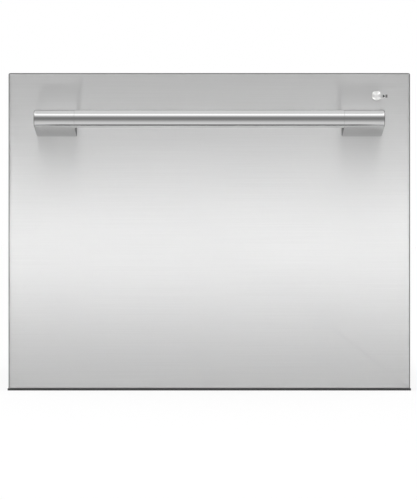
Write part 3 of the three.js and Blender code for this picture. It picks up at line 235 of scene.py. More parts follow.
def toned(tree, taken, fed, tone, dullness, height, bump_reach, **dull_range):
    """Makes a group's colour, roughness and normal from its patterns."""
    color = added(tree, "Mix", data_type="RGBA")
    rough = added(tree, "MapRange", **dull_range)
    bump = added(tree, "Bump", Distance=bump_reach)
    joined(tree,
           (tone, color.inputs["Factor"]),
           (taken["Dark"], color.inputs["A"]),
           (taken["Light"], color.inputs["B"]),
           (dullness, rough.inputs["Value"]),
           (taken["Smooth"], rough.inputs["To Min"]),
           (taken["Rough"], rough.inputs["To Max"]),
           (height, bump.inputs["Height"]),
           (taken["Depth"], bump.inputs["Strength"]),
           (color.outputs["Result"], fed["Color"]),
           (rough, fed["Roughness"]),
           (bump, fed["Normal"]))


# Fine scratches that all run one way: the coordinates come in already stretched along them.
brush_lines, taken, fed = effect("brush lines")
lines = added(brush_lines, "TexNoise", Scale=1.0, Detail=5.0, Roughness=0.62)
line_tone = added(brush_lines, "MapRange", From_Min=0.3, From_Max=0.7)
joined(brush_lines,
       (taken["Coordinates"], lines.inputs["Vector"]),
       (lines, line_tone.inputs["Value"]))
toned(brush_lines, taken, fed, line_tone, line_tone, lines, 0.00002)


def patterned(material, shader, tree, group, stretch, dark, light, smooth, rough, depth):
    """Feeds a material from a pattern group on Object coordinates stretched by (x, y, z)."""
    shader.inputs["Base Color"].default_value = (*light, 1)
    shader.inputs["Roughness"].default_value = rough
    place = added(tree, "TexCoord")
    mapping = added(tree, "Mapping")
    mapping.inputs["Scale"].default_value = stretch
    pattern = added(tree, "Group", node_tree=group)
    for label, value in (("Dark", (*dark, 1)), ("Light", (*light, 1)), ("Smooth", smooth),
                         ("Rough", rough), ("Depth", depth)):
        pattern.inputs[label].default_value = value
    joined(tree,
           (place.outputs["Object"], mapping.inputs["Vector"]),
           (mapping, pattern.inputs["Coordinates"]),
           (pattern.outputs["Color"], shader.inputs["Base Color"]),
           (pattern.outputs["Roughness"], shader.inputs["Roughness"]),
           (pattern.outputs["Normal"], shader.inputs["Normal"]))
    return material


def side_grain(parts, axis, turn=0.0):
    """Widens the shine across the brush lines, which run round or along the named axis."""
    shader, tree = parts[1:]
    grain = added(tree, "Tangent", direction_type="RADIAL", axis=axis)
    shader.inputs["Anisotropic Rotation"].default_value = turn
    joined(tree, (grain, shader.inputs["Tangent"]))


door_parts = finish("brushed stainless door", "brushed_stainless", 1.0, Anisotropic=1.0)
door_steel = patterned(*door_parts, brush_lines, (5, 40, 1300), (0.705, 0.706, 0.705),
                       (0.745, 0.746, 0.745), 0.32, 0.36, 0.04)
side_grain(door_parts, "X")


def painted_light_by_facing(parts, side, start, end, tone):
    """Paints a tone of light and shade of its own on the faces that turn to one side, from their
    normal's X, Y or Z.
    """
    shader, tree = parts[1:]
    facing = added(tree, "NewGeometry")
    split = added(tree, "SeparateXYZ")
    size = added(tree, "Math", operation="ABSOLUTE")
    share = added(tree, "MapRange", From_Min=start, From_Max=end)
    mixed = added(tree, "Mix", data_type="RGBA", B=(*tone, 1))
    joined(tree,
           (facing.outputs["Normal"], split.inputs[0]),
           (split.outputs[side[-1]], size.inputs[0]),
           (split.outputs[side] if len(side) == 1 else size.outputs[0], share.inputs["Value"]),
           (share, mixed.inputs["Factor"]),
           (shader.inputs["Base Color"].links[0].from_socket, mixed.inputs["A"]),
           (mixed.outputs["Result"], shader.inputs["Base Color"]))


# Painted shade and reflection: the faces of the sheet's bends get a dark painted tone and stand as
# dark lines round its face, but for the lower bend, which gets a lighter painted tone. The edges
# behind them get a paler painted tone again.
painted_light_by_facing(door_parts, "Y", -0.96, -0.86, (0.11, 0.11, 0.11))
painted_light_by_facing(door_parts, "Z", -0.3, -0.5, (0.64, 0.64, 0.64))
painted_light_by_facing(door_parts, "Y", -0.16, -0.04, (0.60, 0.60, 0.60))


def made(name, shape, body, material, *replaced, sharp=32):
    """Turns a shape drawn in millimetres into a piece in metres that rides on a CAD body."""
    bmesh.ops.remove_doubles(shape, verts=shape.verts, dist=0.002)
    bmesh.ops.recalc_face_normals(shape, faces=shape.faces)
    bmesh.ops.scale(shape, vec=(0.001, 0.001, 0.001), verts=shape.verts)
    mesh = bpy.data.meshes.new(name)
    shape.to_mesh(mesh)
    shape.free()
    mesh.materials.append(material)
    obj = bpy.data.objects.new(name, mesh)
    shaded(obj, sharp)
    scene.collection.objects.link(obj)
    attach(obj, body)
    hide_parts(*replaced)
    return obj


def shaded(obj, sharp):
    """Smooth shading, with edges sharper than the angle left crisp."""
    obj.data.polygons.foreach_set("use_smooth", [True] * len(obj.data.polygons))
    obj.data.set_sharp_from_angle(angle=math.radians(sharp))


def rounded(shape, edges, offset, steps):
    """Rounds edges of a shape."""
    bmesh.ops.bevel(shape, geom=edges, offset=offset, affect="EDGES", segments=steps, profile=0.5,
                    material=-1)


def box(shape, x0, x1, y0, y1, z0, z1, round_by=0.0, steps=2):
    """Adds a block between two corners, given in any order, with rounded edges."""
    (x0, x1), (y0, y1), (z0, z1) = sorted((x0, x1)), sorted((y0, y1)), sorted((z0, z1))
    size = Matrix.Diagonal((x1 - x0, y1 - y0, z1 - z0, 1))
    place = Matrix.Translation(((x0 + x1) / 2, (y0 + y1) / 2, (z0 + z1) / 2))
    corners = bmesh.ops.create_cube(shape, size=1, matrix=place @ size)["verts"]
    if round_by:
        edges = list({edge for corner in corners for edge in corner.link_edges})
        rounded(shape, edges, round_by, steps)


def spun(shape, profile, centre, axis=(0, 0, 1), steps=64):
    """Adds a turned form: radius and depth pairs, spun once round an axis through a point."""
    along = Vector(axis)
    across = along.orthogonal().normalized()
    points = [shape.verts.new(Vector(centre) + across * radius + along * depth)
              for radius, depth in profile]
    edges = [shape.edges.new(pair) for pair in zip(points, points[1:])]
    bmesh.ops.spin(shape, geom=points + edges, cent=centre, axis=along,
                   angle=math.tau, steps=steps, use_merge=True)


def settled(obj, sharp=32):
    """Keeps what a piece's modifiers make of its mesh."""
    bpy.context.view_layer.update()
    view = bpy.context.evaluated_depsgraph_get()
    mesh = bpy.data.meshes.new_from_object(obj.evaluated_get(view))
    obj.modifiers.clear()
    obj.data = mesh
    shaded(obj, sharp)


def cut_away(obj, *tools, sharp=32):
    """Cuts shapes drawn in millimetres out of a piece."""
    for tool in tools:
        bmesh.ops.recalc_face_normals(tool, faces=tool.faces)
        bmesh.ops.scale(tool, vec=(0.001, 0.001, 0.001), verts=tool.verts)
        mesh = bpy.data.meshes.new("tool")
        tool.to_mesh(mesh)
        tool.free()
        cutter = bpy.data.objects.new("tool", mesh)
        scene.collection.objects.link(cutter)
        cut = obj.modifiers.new("cut", "BOOLEAN")
        cut.operation = "DIFFERENCE"
        cut.solver = "EXACT"
        cut.object = cutter
        settled(obj, sharp)
        bpy.data.objects.remove(cutter)


door_front, door_back = -298.0, -276.0
door_low, door_high = 3.4, 471.2
door_half = 298.0
button_at = (247.9, door_front, 437.4)

shape = bmesh.new()
box(shape, -door_half, door_half, door_front, door_back, door_low, door_high)
folds = [edge for edge in shape.edges
         if abs(edge.verts[0].co.y - edge.verts[1].co.y) > 1]
rounded(shape, folds, 2.6, 6)
rim = [edge for edge in shape.edges
       if all(corner.co.y < door_front + 0.01 for corner in edge.verts)]
rounded(shape, rim, 2.5, 8)
lower_fold = [corner for corner in shape.verts if corner.co.z < door_low + 2.7]
bmesh.ops.scale(shape, vec=(1, 1, 0.4), space=Matrix.Translation((0, 0, -door_low)),
                verts=lower_fold)
flat = [face for face in shape.faces if face.normal.y < -0.999]
bmesh.ops.inset_region(shape, faces=flat, thickness=0.5)
back = [face for face in shape.faces if face.calc_center_median().y > door_back - 0.01]
bmesh.ops.delete(shape, geom=back, context="FACES_ONLY")
door_skin = made("door_skin", shape, "drawer", door_steel, "door_outer_panel", sharp=50)
thickness = door_skin.modifiers.new("sheet", "SOLIDIFY")
thickness.thickness = 0.0009
thickness.offset = -1
settled(door_skin, 50)
key_slot = bmesh.new()
box(key_slot, -180.3, 180.3, -290.0, -270.0, 460.0, 480.0)
button_hole = bmesh.new()
spun(button_hole, [(0, -5), (7.35, -5), (7.35, 5), (0, 5)], button_at, (0, 1, 0))
bmesh.ops.remove_doubles(button_hole, verts=button_hole.verts, dist=0.002)
cut_away(door_skin, key_slot, button_hole, sharp=50)

# ---------- Handle bar ----------
# A stainless tube across the door, ground and brushed along its length, that slides over a
# spigot on each end post.
bar_parts = finish("brushed stainless bar", "brushed_stainless", 1.0, Anisotropic=0.3)
bar_steel = patterned(*bar_parts, brush_lines, (4, 700, 700), (0.69, 0.692, 0.692),
                      (0.74, 0.742, 0.742), 0.055, 0.09, 0.03)
side_grain(bar_parts, "X")
bar_radius, bar_bore, bar_y, bar_z, bar_end = 13.15, 10.15, -351.5, 400.5, 196.75
shape = bmesh.new()
spun(shape, [(bar_bore, -bar_end), (bar_radius - 0.15, -bar_end), (bar_radius, -bar_end + 0.15),
             (bar_radius, bar_end - 0.15), (bar_radius - 0.15, bar_end), (bar_bore, bar_end),
             (bar_bore, -bar_end)], (0, bar_y, bar_z), (1, 0, 0), 128)
bar = made("handle_tube", shape, "drawer", bar_steel, "handle_bar")
bar.visible_glossy = False

# ---------- Handle posts ----------
# The cast stainless ends of the handle. Each carries the bar's round on to the end and sweeps
# back in one web to the door, where two hidden screws hold it.
post_inner, post_outer = 196.8, 255.7
post_parts = finish("cast stainless", "brushed_stainless", 1.0, Anisotropic=0.3,
                    Specular_Tint=(0.52, 0.52, 0.52, 1))
post_steel = patterned(*post_parts, brush_lines, (4, 700, 700), (0.69, 0.692, 0.692),
                       (0.74, 0.742, 0.742), 0.07, 0.11, 0.03)
side_grain(post_parts, "X")
# Painted light and shade on the posts: their underside and their top get lighter painted tones than
# the ground front, and their two sides a dark painted tone.
painted_light_by_facing(post_parts, "Z", -0.965, -0.98, (0.77, 0.77, 0.77))
painted_light_by_facing(post_parts, "Z", 0.93, 0.99, (0.85, 0.85, 0.85))
painted_light_by_facing(post_parts, "|X", 0.35, 0.7, (0.30, 0.30, 0.305))
foot_y = door_front - 0.3
foot_low = bar_z - bar_radius - 10.8


def drawn_out(shape, faces, shift):
    """Gives flat faces a thickness: a copy of them is carried off by a shift and walled in."""
    moved = bmesh.ops.extrude_face_region(shape, geom=faces)["geom"]
    bmesh.ops.translate(shape, vec=shift,
                        verts=[part for part in moved if isinstance(part, bmesh.types.BMVert)])


def handle_post(name, side, node):
    """One end post: its outline, drawn on the right and mirrored to its side."""
    shape = bmesh.new()
    start = shape.verts.new((post_inner, bar_y, bar_z + bar_radius))
    reach = math.hypot(foot_y - bar_y, foot_low - bar_z)
    tangent = math.atan2(foot_low - bar_z, foot_y - bar_y) - math.acos(bar_radius / reach)
    arc = bmesh.ops.spin(shape, geom=[start], cent=(0, bar_y, bar_z), axis=(1, 0, 0),
                         angle=1.5 * math.pi + tangent, steps=40, use_merge=False)
    end = arc["geom_last"][0]
    outline = [start]
    while outline[-1] is not end:
        outline.append(next(edge.other_vert(outline[-1]) for edge in outline[-1].link_edges
                            if edge.other_vert(outline[-1]) not in outline[-2:]))
    for y, z in ((foot_y - 2, foot_low + 0.4), (foot_y, foot_low + 2),
                 (foot_y, bar_z + bar_radius)):
        outline.append(shape.verts.new((post_inner, y, z)))
    for edge in list(shape.edges):
        shape.edges.remove(edge)
    drawn_out(shape, [shape.faces.new(outline)], (post_outer - post_inner, 0, 0))
    for end, rounding in ((post_inner, 0.15), (post_outer, 2.2)):
        ends = [edge for edge in shape.edges if all(abs(v.co.x - end) < 0.01 for v in edge.verts)]
        rounded(shape, ends, rounding, 4)
    bmesh.ops.scale(shape, vec=(side, 1, 1), verts=shape.verts)
    return made(name, shape, "drawer", post_steel, node, sharp=24)


handle_post("handle_end_right", 1, "right_handle_post")
handle_post("handle_end_left", -1, "left_handle_post")

# A thin dull grey plate on each post's inner side, behind the bar, is a dark sheet standing in for
# the shade in the gap there.
inner_shade_grey = patterned(*finish("dull grey shade plate", "grey_moulding", Specular_IOR_Level=0.12),
                      brush_lines, (900, 900, 900), (0.19, 0.19, 0.192), (0.24, 0.24, 0.242),
                      0.6, 0.75, 0.1)
shape = bmesh.new()
for side in (-1, 1):
    plate = [(bar_y + bar_radius + 0.4, foot_low + 9.4), (foot_y - 2.2, foot_low + 1.1),
             (foot_y - 0.5, foot_low + 2.3), (foot_y - 0.5, bar_z + bar_radius - 0.8),
             (bar_y + bar_radius + 0.4, bar_z + bar_radius - 0.8)]
    face = shape.faces.new([shape.verts.new((side * post_inner, y, z)) for y, z in plate])
    drawn_out(shape, [face], (-side * 0.4, 0, 0))
made("post_inner_shade_plates", shape, "drawer", inner_shade_grey)

# ---------- Start button ----------
# A small stainless push button, spun on its face so that its grain runs in circles, in a guide
# moulded behind the door. The symbol beside it is printed: a triangle and two bars.
spun_parts = finish("spun stainless", "brushed_stainless", 1.0, Anisotropic=0.9)
spun_steel, spun_shader, spun_tree = spun_parts
spun_place = added(spun_tree, "TexCoord")
spun_centre = added(spun_tree, "Mapping")
spun_centre.inputs["Location"].default_value = [-value / 1000 for value in button_at]
spun_radius = added(spun_tree, "VectorMath", operation="LENGTH")
spun_scale = added(spun_tree, "CombineXYZ")
spun_stretch = added(spun_tree, "Math", operation="MULTIPLY")
spun_stretch.inputs[1].default_value = 4000
spun_grain = added(spun_tree, "Group", node_tree=brush_lines, Dark=(0.72, 0.72, 0.71, 1),
                   Light=(0.86, 0.86, 0.85, 1), Smooth=0.26, Rough=0.34, Depth=0.1)
joined(spun_tree,
       (spun_place.outputs["Object"], spun_centre.inputs["Vector"]),
       (spun_centre, spun_radius.inputs[0]),
       (spun_radius.outputs["Value"], spun_stretch.inputs[0]),
       (spun_stretch, spun_scale.inputs["X"]),
       (spun_scale, spun_grain.inputs["Coordinates"]),
       (spun_grain.outputs["Color"], spun_shader.inputs["Base Color"]),
       (spun_grain.outputs["Roughness"], spun_shader.inputs["Roughness"]),
       (spun_grain.outputs["Normal"], spun_shader.inputs["Normal"]))
side_grain(spun_parts, "Y", 0.25)

shape = bmesh.new()
spun(shape, [(0, -1.65), (2.5, -1.64), (5, -1.62), (7.05, -1.58), (7.2, -1.5), (7.25, -1.35),
             (7.25, 1.2), (8.45, 1.2), (8.45, 2.4), (3, 2.4), (3, 11.6), (0, 11.6)],
     button_at, (0, 1, 0), 96)
button = made("spun_button", shape, "start_button", spun_steel, "start_button", sharp=25)

ink = patterned(*finish("printed ink", "dark_moulding"), brush_lines, (900, 900, 900),
                (0.010, 0.010, 0.012), (0.015, 0.015, 0.017), 0.45, 0.55, 0.02)


def printed(shape, outline):
    """Adds a layer of ink on the door's front, drawn as (x, z) points."""
    face = shape.faces.new([shape.verts.new((x, door_front - 0.06, z)) for x, z in outline])
    drawn_out(shape, [face], (0, 0.1, 0))


shape = bmesh.new()
symbol_z = 436.9
symbol_low, symbol_high = symbol_z - 2.25, symbol_z + 2.25
printed(shape, [(257.45, symbol_low), (261.2, symbol_z), (257.45, symbol_high)])
for x in (261.5, 263.0):
    printed(shape, [(x, symbol_low), (x + 1.15, symbol_low), (x + 1.15, symbol_high),
                    (x, symbol_high)])
symbol = made("start_symbol", shape, "drawer", ink)

# The door's front is lit by two more lamps that stand before it: a wide one, and a long low one
# that gives the brushed sheet its broad pale band across the middle. Two small ones lie on the
# posts and stand for the light that their tops throw on to the sheet.
door_light = bpy.data.collections.new("lit door front")
for obj in (door_skin, symbol):
    door_light.objects.link(obj)
lamp("door_wide", (0, -2.3, 0.24), (0, 0, 0.24), 3.6, 2.6, 0.045, door_light, door_light)
lamp("door_band", (0, -0.6, 0.2155), (0, 0, 0.2155), 3.0, 0.1, 2.9, door_light, door_light)
glow_x = 0.2262
for side in (-1, 1):
    lamp(f"post_glow_{side}", (side * glow_x, -0.324, 0.4142), (side * glow_x, -0.324, 1),
         0.0585, 0.05, 0.62, door_light, door_light)

# The button has lamps of its own: one before it, and two that draw a cross of light on its grain.
button_light = bpy.data.collections.new("lit button")
button_light.objects.link(button)
lamp("button_front", (0.25, -2.6, 0.44), (0.25, 0, 0.44), 1.4, 1.4, 0.58, button_light)
lamp("button_right", (0.73, -2.18, 0.92), (0.248, -0.3, 0.437), 0.2, 0.2, 16.0, button_light)
lamp("button_left", (0.04, -2.23, 0.92), (0.248, -0.3, 0.437), 0.2, 0.2, 11.0, button_light)

# ---------- Door liner ----------
# The door's back: one grey polypropylene moulding with ribs inside, clipped into the folded edges
# of the outer panel and screwed round its border.
moulded_grain, taken, fed = effect("moulded grain")
clouds = added(moulded_grain, "TexNoise", Scale=14.0, Detail=3.0)
pores = added(moulded_grain, "TexNoise", Scale=1500.0, Detail=2.0)
joined(moulded_grain,
       (taken["Coordinates"], clouds.inputs["Vector"]),
       (taken["Coordinates"], pores.inputs["Vector"]))
toned(moulded_grain, taken, fed, clouds, clouds, pores, 0.00006, From_Min=0.3, From_Max=0.7)


def moulding(name, slot_name, dark, light, smooth, rough, depth=0.25):
    """A plastic or a rubber with a fine moulded grain."""
    return patterned(*finish(name, slot_name), moulded_grain, (1, 1, 1), dark, light,
                     smooth, rough, depth)


def eased(node, material, width=0.3, sharp=32):
    """A finished copy of a frame part: merged, smooth where it curves, its edges eased."""
    shape = bmesh.new()
    shape.from_mesh(frame["nodes"][node].data)
    bmesh.ops.remove_doubles(shape, verts=shape.verts, dist=0.000004)
    bmesh.ops.dissolve_limit(shape, angle_limit=math.radians(0.4), verts=shape.verts,
                             edges=shape.edges, use_dissolve_boundaries=False)
    bmesh.ops.scale(shape, vec=(1000, 1000, 1000), verts=shape.verts)
    body = frame["nodes"][node]["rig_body"]
    obj = made(node + "_eased", shape, body, material, node, sharp=sharp)
    ease = obj.modifiers.new("eased edges", "BEVEL")
    ease.width = width / 1000
    ease.segments = 2
    ease.limit_method = "ANGLE"
    ease.angle_limit = math.radians(sharp)
    ease.use_clamp_overlap = True
    ease.harden_normals = True
    return obj


def screw(shape, centre, axis, head=4.0):
    """Adds a pan-head screw with a six-sided socket, its head standing out along the axis."""
    rise = head * 0.5
    spun(shape, [(head * 0.42, rise), (head * 0.72, rise), (head * 0.94, rise * 0.68),
                 (head, rise * 0.3), (head, 0), (head * 0.42, 0), (head * 0.42, rise)],
         centre, axis, 20)
    spun(shape, [(head * 0.47, rise * 0.2), (0, rise * 0.2), (0, rise * 0.1),
                 (head * 0.47, rise * 0.1), (head * 0.47, rise * 0.2)], centre, axis, 6)


def metal(name, slot_name, fine, dark, light, smooth, rough, depth):
    """A bare metal with short fine marks that run no one way."""
    return patterned(*finish(name, slot_name, 1.0), brush_lines, (fine, fine, fine), dark, light,
                     smooth, rough, depth)


grey_moulding = moulding("grey moulding", "grey_moulding", (0.40, 0.42, 0.44), (0.44, 0.46, 0.48),
                         0.36, 0.46, 0.15)
plated = metal("zinc-plated screw", "sheet_steel", 300, (0.58, 0.58, 0.56), (0.70, 0.70, 0.68),
               0.24, 0.36, 0.05)
eased("door_liner", grey_moulding)
liner_back = -275.1
shape = bmesh.new()
for x in (-283, 283):
    for z in (30, 165, 300, 440):
        screw(shape, (x, liner_back, z), (0, 1, 0))
for x in (-200, 0, 200):
    screw(shape, (x, liner_back, 18), (0, 1, 0))
made("liner_screws", shape, "drawer", plated)

# ---------- Control strip and keys ----------
# A black moulding let into the door's top edge: four grey rocker keys, each with a light beside
# it, and a smoked display window. Its circuit board stands below it, behind the panel.
black_moulding = moulding("black moulding", "dark_moulding", (0.022, 0.022, 0.024),
                          (0.032, 0.032, 0.034), 0.45, 0.6)
smoked = patterned(*finish("smoked window", "dark_moulding", Coat_Weight=0.6), moulded_grain,
                   (1, 1, 1), (0.010, 0.010, 0.012), (0.016, 0.016, 0.018), 0.06, 0.1, 0.0)
amber = moulding("light lens", "white_moulding", (0.62, 0.24, 0.05), (0.80, 0.36, 0.08),
                 0.15, 0.25, 0.1)
solder_mask = moulding("solder mask", "circuit_board", (0.012, 0.09, 0.035),
                       (0.02, 0.13, 0.05), 0.25, 0.35)
strip_top = 470.7
key_x = [150 - 34 * i for i in range(4)]
key_y = -283.75
eased("control_strip", black_moulding, 0.25)
eased("control_board", solder_mask, 0.15)
for i in range(4):
    eased(f"program_key_{i + 1}", grey_moulding, 0.5)
shape = bmesh.new()
box(shape, -150, -64, -287.6, -279.6, strip_top - 0.4, strip_top + 0.25, 0.2, 3)
made("display_window", shape, "drawer", smoked)
shape = bmesh.new()
for x in key_x:
    spun(shape, [(0, 0.25), (0.8, 0.2), (1.1, 0), (1.1, -0.5), (0, -0.5)],
         (x - 14, key_y - 2.2, strip_top), steps=16)
made("key_lights", shape, "drawer", amber)

# ---------- Tub ----------
# The wash tub: one pale grey polypropylene moulding. Its floor falls to a round sump, its rim is
# rolled over for the lid to close on, and a ledge down each side rests on the runner brackets.
tub_moulding = moulding("tub moulding", "grey_moulding", (0.47, 0.49, 0.50), (0.51, 0.53, 0.54),
                        0.30, 0.40, 0.12)
tub_half, tub_half_depth, tub_middle, tub_corner = 265.0, 239.5, -24.5, 40.0
wall_low, wall_high = 120.0, 429.0


def lean(z):
    """How far the tub's walls lean in at a height."""
    return 4.0 * min(max((wall_high - z) / (wall_high - wall_low), 0), 1)


def outline_drawn(shape, steps):
    """Draws the tub's outline through (outset, height) steps: returns its first and last face."""
    outset, height = steps[0]
    place = Matrix.Translation((0, tub_middle, height))
    size = Matrix.Diagonal((tub_half + outset, tub_half_depth + outset, 1, 1))
    corners = bmesh.ops.create_grid(shape, x_segments=1, y_segments=1, size=1,
                                    matrix=place @ size)["verts"]
    bmesh.ops.bevel(shape, geom=corners, offset=tub_corner + outset, affect="VERTICES",
                    segments=12, profile=0.5, material=-1)
    shape.faces.ensure_lookup_table()
    first = face = shape.faces[-1]
    for next_outset, next_height in steps[1:]:
        moved = bmesh.ops.extrude_face_region(shape, geom=[face])["geom"]
        if face is not first:
            bmesh.ops.delete(shape, geom=[face], context="FACES_ONLY")
        face = next(part for part in moved if isinstance(part, bmesh.types.BMFace))
        bmesh.ops.scale(shape, vec=((tub_half + next_outset) / (tub_half + outset),
                                    (tub_half_depth + next_outset) / (tub_half_depth + outset), 1),
                        space=Matrix.Translation((0, -tub_middle, 0)), verts=face.verts)
        bmesh.ops.translate(shape, vec=(0, 0, next_height - height), verts=face.verts)
        outset, height = next_outset, next_height
    return first, face


def ring_drawn(shape, loop, steps):
    """Carries an open round edge on through (radius, height) steps about the tub's middle."""
    radius, height = steps[0]
    for next_radius, next_height in steps[1:]:
        moved = bmesh.ops.extrude_edge_only(shape, edges=loop)["geom"]
        corners = [part for part in moved if isinstance(part, bmesh.types.BMVert)]
        loop = [part for part in moved if isinstance(part, bmesh.types.BMEdge)]
        bmesh.ops.scale(shape, vec=(next_radius / radius, next_radius / radius, 1),
                        space=Matrix.Translation((0, -tub_middle, 0)), verts=corners)
        bmesh.ops.translate(shape, vec=(0, 0, next_height - height), verts=corners)
        radius, height = next_radius, next_height


shape = bmesh.new()
walls = [(6.7, 420.3), (6.7, 430.4), (6.2, 431.5), (5.2, 432), (0.2, 432), (-1.4, 431.7),
         (-2.6, 430.5), (-3, 428.6)]
walls += [(-3 - lean(z), z) for z in (340, 230, 124)]
walls += [(-7.6, 114), (-9.6, 108.5), (-13.5, 103.2), (-19, 99.6), (-27.5, 98)]
first, last = outline_drawn(shape, walls)
floor_edge = list(last.edges)
bmesh.ops.delete(shape, geom=[first, last], context="FACES_ONLY")
sump_lip = bmesh.ops.create_circle(shape, cap_ends=False, segments=52, radius=72,
                                   matrix=Matrix.Translation((0, tub_middle, 91.2)))["verts"]
sump_edge = list({edge for corner in sump_lip for edge in corner.link_edges})
floor_faces = bmesh.ops.bridge_loops(shape, edges=floor_edge + sump_edge)["faces"]
slopes = [edge for face in floor_faces for edge in face.edges
          if edge not in floor_edge and edge not in sump_edge]
bmesh.ops.subdivide_edges(shape, edges=list(set(slopes)), cuts=5, use_grid_fill=True)
ring_drawn(shape, sump_edge, [(72, 91.2), (70.6, 90.4), (70, 88.6), (67.4, 66), (66, 63.2),
                              (63, 62), (30, 62)])
tub = made("wash_tub", shape, "drawer", tub_moulding, "tub", sharp=50)
wall = tub.modifiers.new("wall", "SOLIDIFY")
wall.thickness = 0.003
wall.offset = -1
settled(tub, 50)

ledge_low = 151.05
shape = bmesh.new()
for side in (-1, 1):
    inner, tip = side * 260.6, side * 275.4
    box(shape, inner, tip, -254, 170, ledge_low, ledge_low + 4, 0.8)
    for y in range(-230, 160, 32):
        box(shape, inner, side * 271, y - 1.1, y + 1.1, ledge_low + 3.5, ledge_low + 14, 0.4)
# Thin ribs stiffen the walls under the rim, at both sides and at the back.
rib_low, rib_high, rib_out = 372, 424, 5.6
tub_rear = tub_middle + tub_half_depth
for side in (-1, 1):
    for y in range(-204, 160, 36):
        box(shape, side * (tub_half - 1), side * (tub_half + rib_out), y - 1, y + 1,
            rib_low, rib_high, 0.4)
for x in range(-205, 210, 41):
    box(shape, x - 1, x + 1, tub_rear - 1, tub_rear + rib_out, rib_low, rib_high, 0.4)
made("tub_ledges", shape, "drawer", tub_moulding)
eased("tub_mount_plate", grey_moulding)

# ---------- Detergent dispenser ----------
# A grey moulding on the tub's front wall: a cup under a sprung white flap, and beside it the
# rinse-aid tank behind a white cap that turns a quarter to open.
white_moulding = moulding("white moulding", "white_moulding", (0.78, 0.78, 0.77),
                          (0.83, 0.83, 0.82), 0.28, 0.38, 0.1)
eased("detergent_dispenser", grey_moulding, 0.8)
eased("detergent_flap", white_moulding, 0.4)


def corners_of(node):
    """The lowest and highest corner of a frame part, in millimetres."""
    return [corner * 1000 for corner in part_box(node)]


def blocks_round(shape, centre, axis, count, steps, place, size):
    """Adds blocks of one size beside a centre, each turned on by a full turn over the steps."""
    for i in range(count):
        bmesh.ops.create_cube(shape, size=1, matrix=Matrix.Translation(centre)
                              @ Matrix.Rotation(i * math.tau / steps, 4, axis)
                              @ Matrix.Translation(place) @ Matrix.Diagonal((*size, 1)))


cap_at = x, y, z = (50.0, corners_of("rinse_aid_cap")[1].y - 8, 377.0)
shape = bmesh.new()
spun(shape, [(0, 4), (14.8, 4), (16.6, 3.7), (17.6, 2.8), (18, 1.6), (18, 0.4), (13, 0.4),
             (13, -8), (0, -8)], cap_at, (0, 1, 0))
blocks_round(shape, cap_at, "Y", 36, 36, (17.6, 1.7, 0), (0.7, 2.2, 1.0))
box(shape, x - 14, x + 14, y + 3.5, y + 8, z - 2, z + 2, 1.0, 3)
made("rinse_cap", shape, "rinse_aid_cap", white_moulding, "rinse_aid_cap")

# ---------- Spray arm and hub ----------
# The arm is two grey shells welded round their edge, with eight raised jets that drive it round.
# It floats on a spindle that rises from the wash pump's hub and is held by a cap nut.
arm_moulding = moulding("arm moulding", "grey_moulding", (0.30, 0.32, 0.34), (0.34, 0.36, 0.38),
                        0.28, 0.38, 0.12)
arm_reach, arm_tip, arm_low, arm_high = 205.0, 15.0, 108.0, 116.0


def eased_line(start, pull, end, steps=12):
    """Points of a curve that leaves its start towards the pull and comes in to its end."""
    return [Vector(start).lerp(Vector(pull), t).lerp(Vector(pull).lerp(Vector(end), t), t)
            for t in (i / steps for i in range(steps))]


half_arm = (eased_line((0, -24), (arm_reach * 0.55, -30), (arm_reach - arm_tip, -arm_tip))
            + [Vector((arm_reach - arm_tip + arm_tip * math.sin(a), -arm_tip * math.cos(a)))
               for a in (math.pi * i / 12 for i in range(12))]
            + eased_line((arm_reach - arm_tip, arm_tip), (arm_reach * 0.5, 10), (0, 24)))
shape = bmesh.new()
outline = [shape.verts.new((sign * point.x, tub_middle + sign * point.y, arm_low))
           for sign in (1, -1) for point in half_arm]
drawn_out(shape, [shape.faces.new(outline)], (0, 0, arm_high - arm_low))
rims = [edge for edge in shape.edges if abs(edge.verts[0].co.z - edge.verts[1].co.z) < 0.01]
rounded(shape, rims, 2.6, 5)
middle = (0, tub_middle, arm_low)
spun(shape, [(12.4, -2.6), (25, -2.6), (26, -1.6), (26, 9.4), (24, 11.2), (18, 11.6),
             (12.4, 11.6), (12.4, -2.6)], middle)
spun(shape, [(30, 7.6), (29.4, 8.7), (27.6, 8.7), (27, 7.6), (30, 7.6)], middle)
for i, x in enumerate((60, 105, 150, 190)):
    for sign in (1, -1):
        jet = (sign * x, tub_middle + sign * (i - 4), arm_low)
        spun(shape, [(6, 7.4), (5.6, 8.6), (4.4, 9.4), (2.2, 9.6), (1.6, 9.0), (1.6, 7.2),
                     (0, 7.2), (0, 6.8), (6, 6.8), (6, 7.4)], jet, steps=24)
    for sign in (1, -1):
        box(shape, sign * (x - 17) - 5, sign * (x - 17) + 5, tub_middle - 0.8, tub_middle + 0.8,
            arm_high - 0.6, arm_high + 0.7, 0.3)
made("spray_blade", shape, "spray_arm", arm_moulding, "spray_arm", sharp=35)

sump_at = (0, tub_middle, 0)
shape = bmesh.new()
spun(shape, [(0, 64.3), (28, 64.3), (28, 66.6), (27, 67.3), (20, 69.5), (17, 71.6), (16, 74),
             (16, 104), (15, 105), (12, 105), (12, 119.8), (15, 119.8), (15, 122), (13.6, 123.4),
             (9, 124), (0, 124)], sump_at)
blocks_round(shape, sump_at, "Z", 6, 6, (10.5, 0, 123), (7, 2, 2))
made("hub_and_nut", shape, "drawer", arm_moulding, "spray_hub", sharp=35)

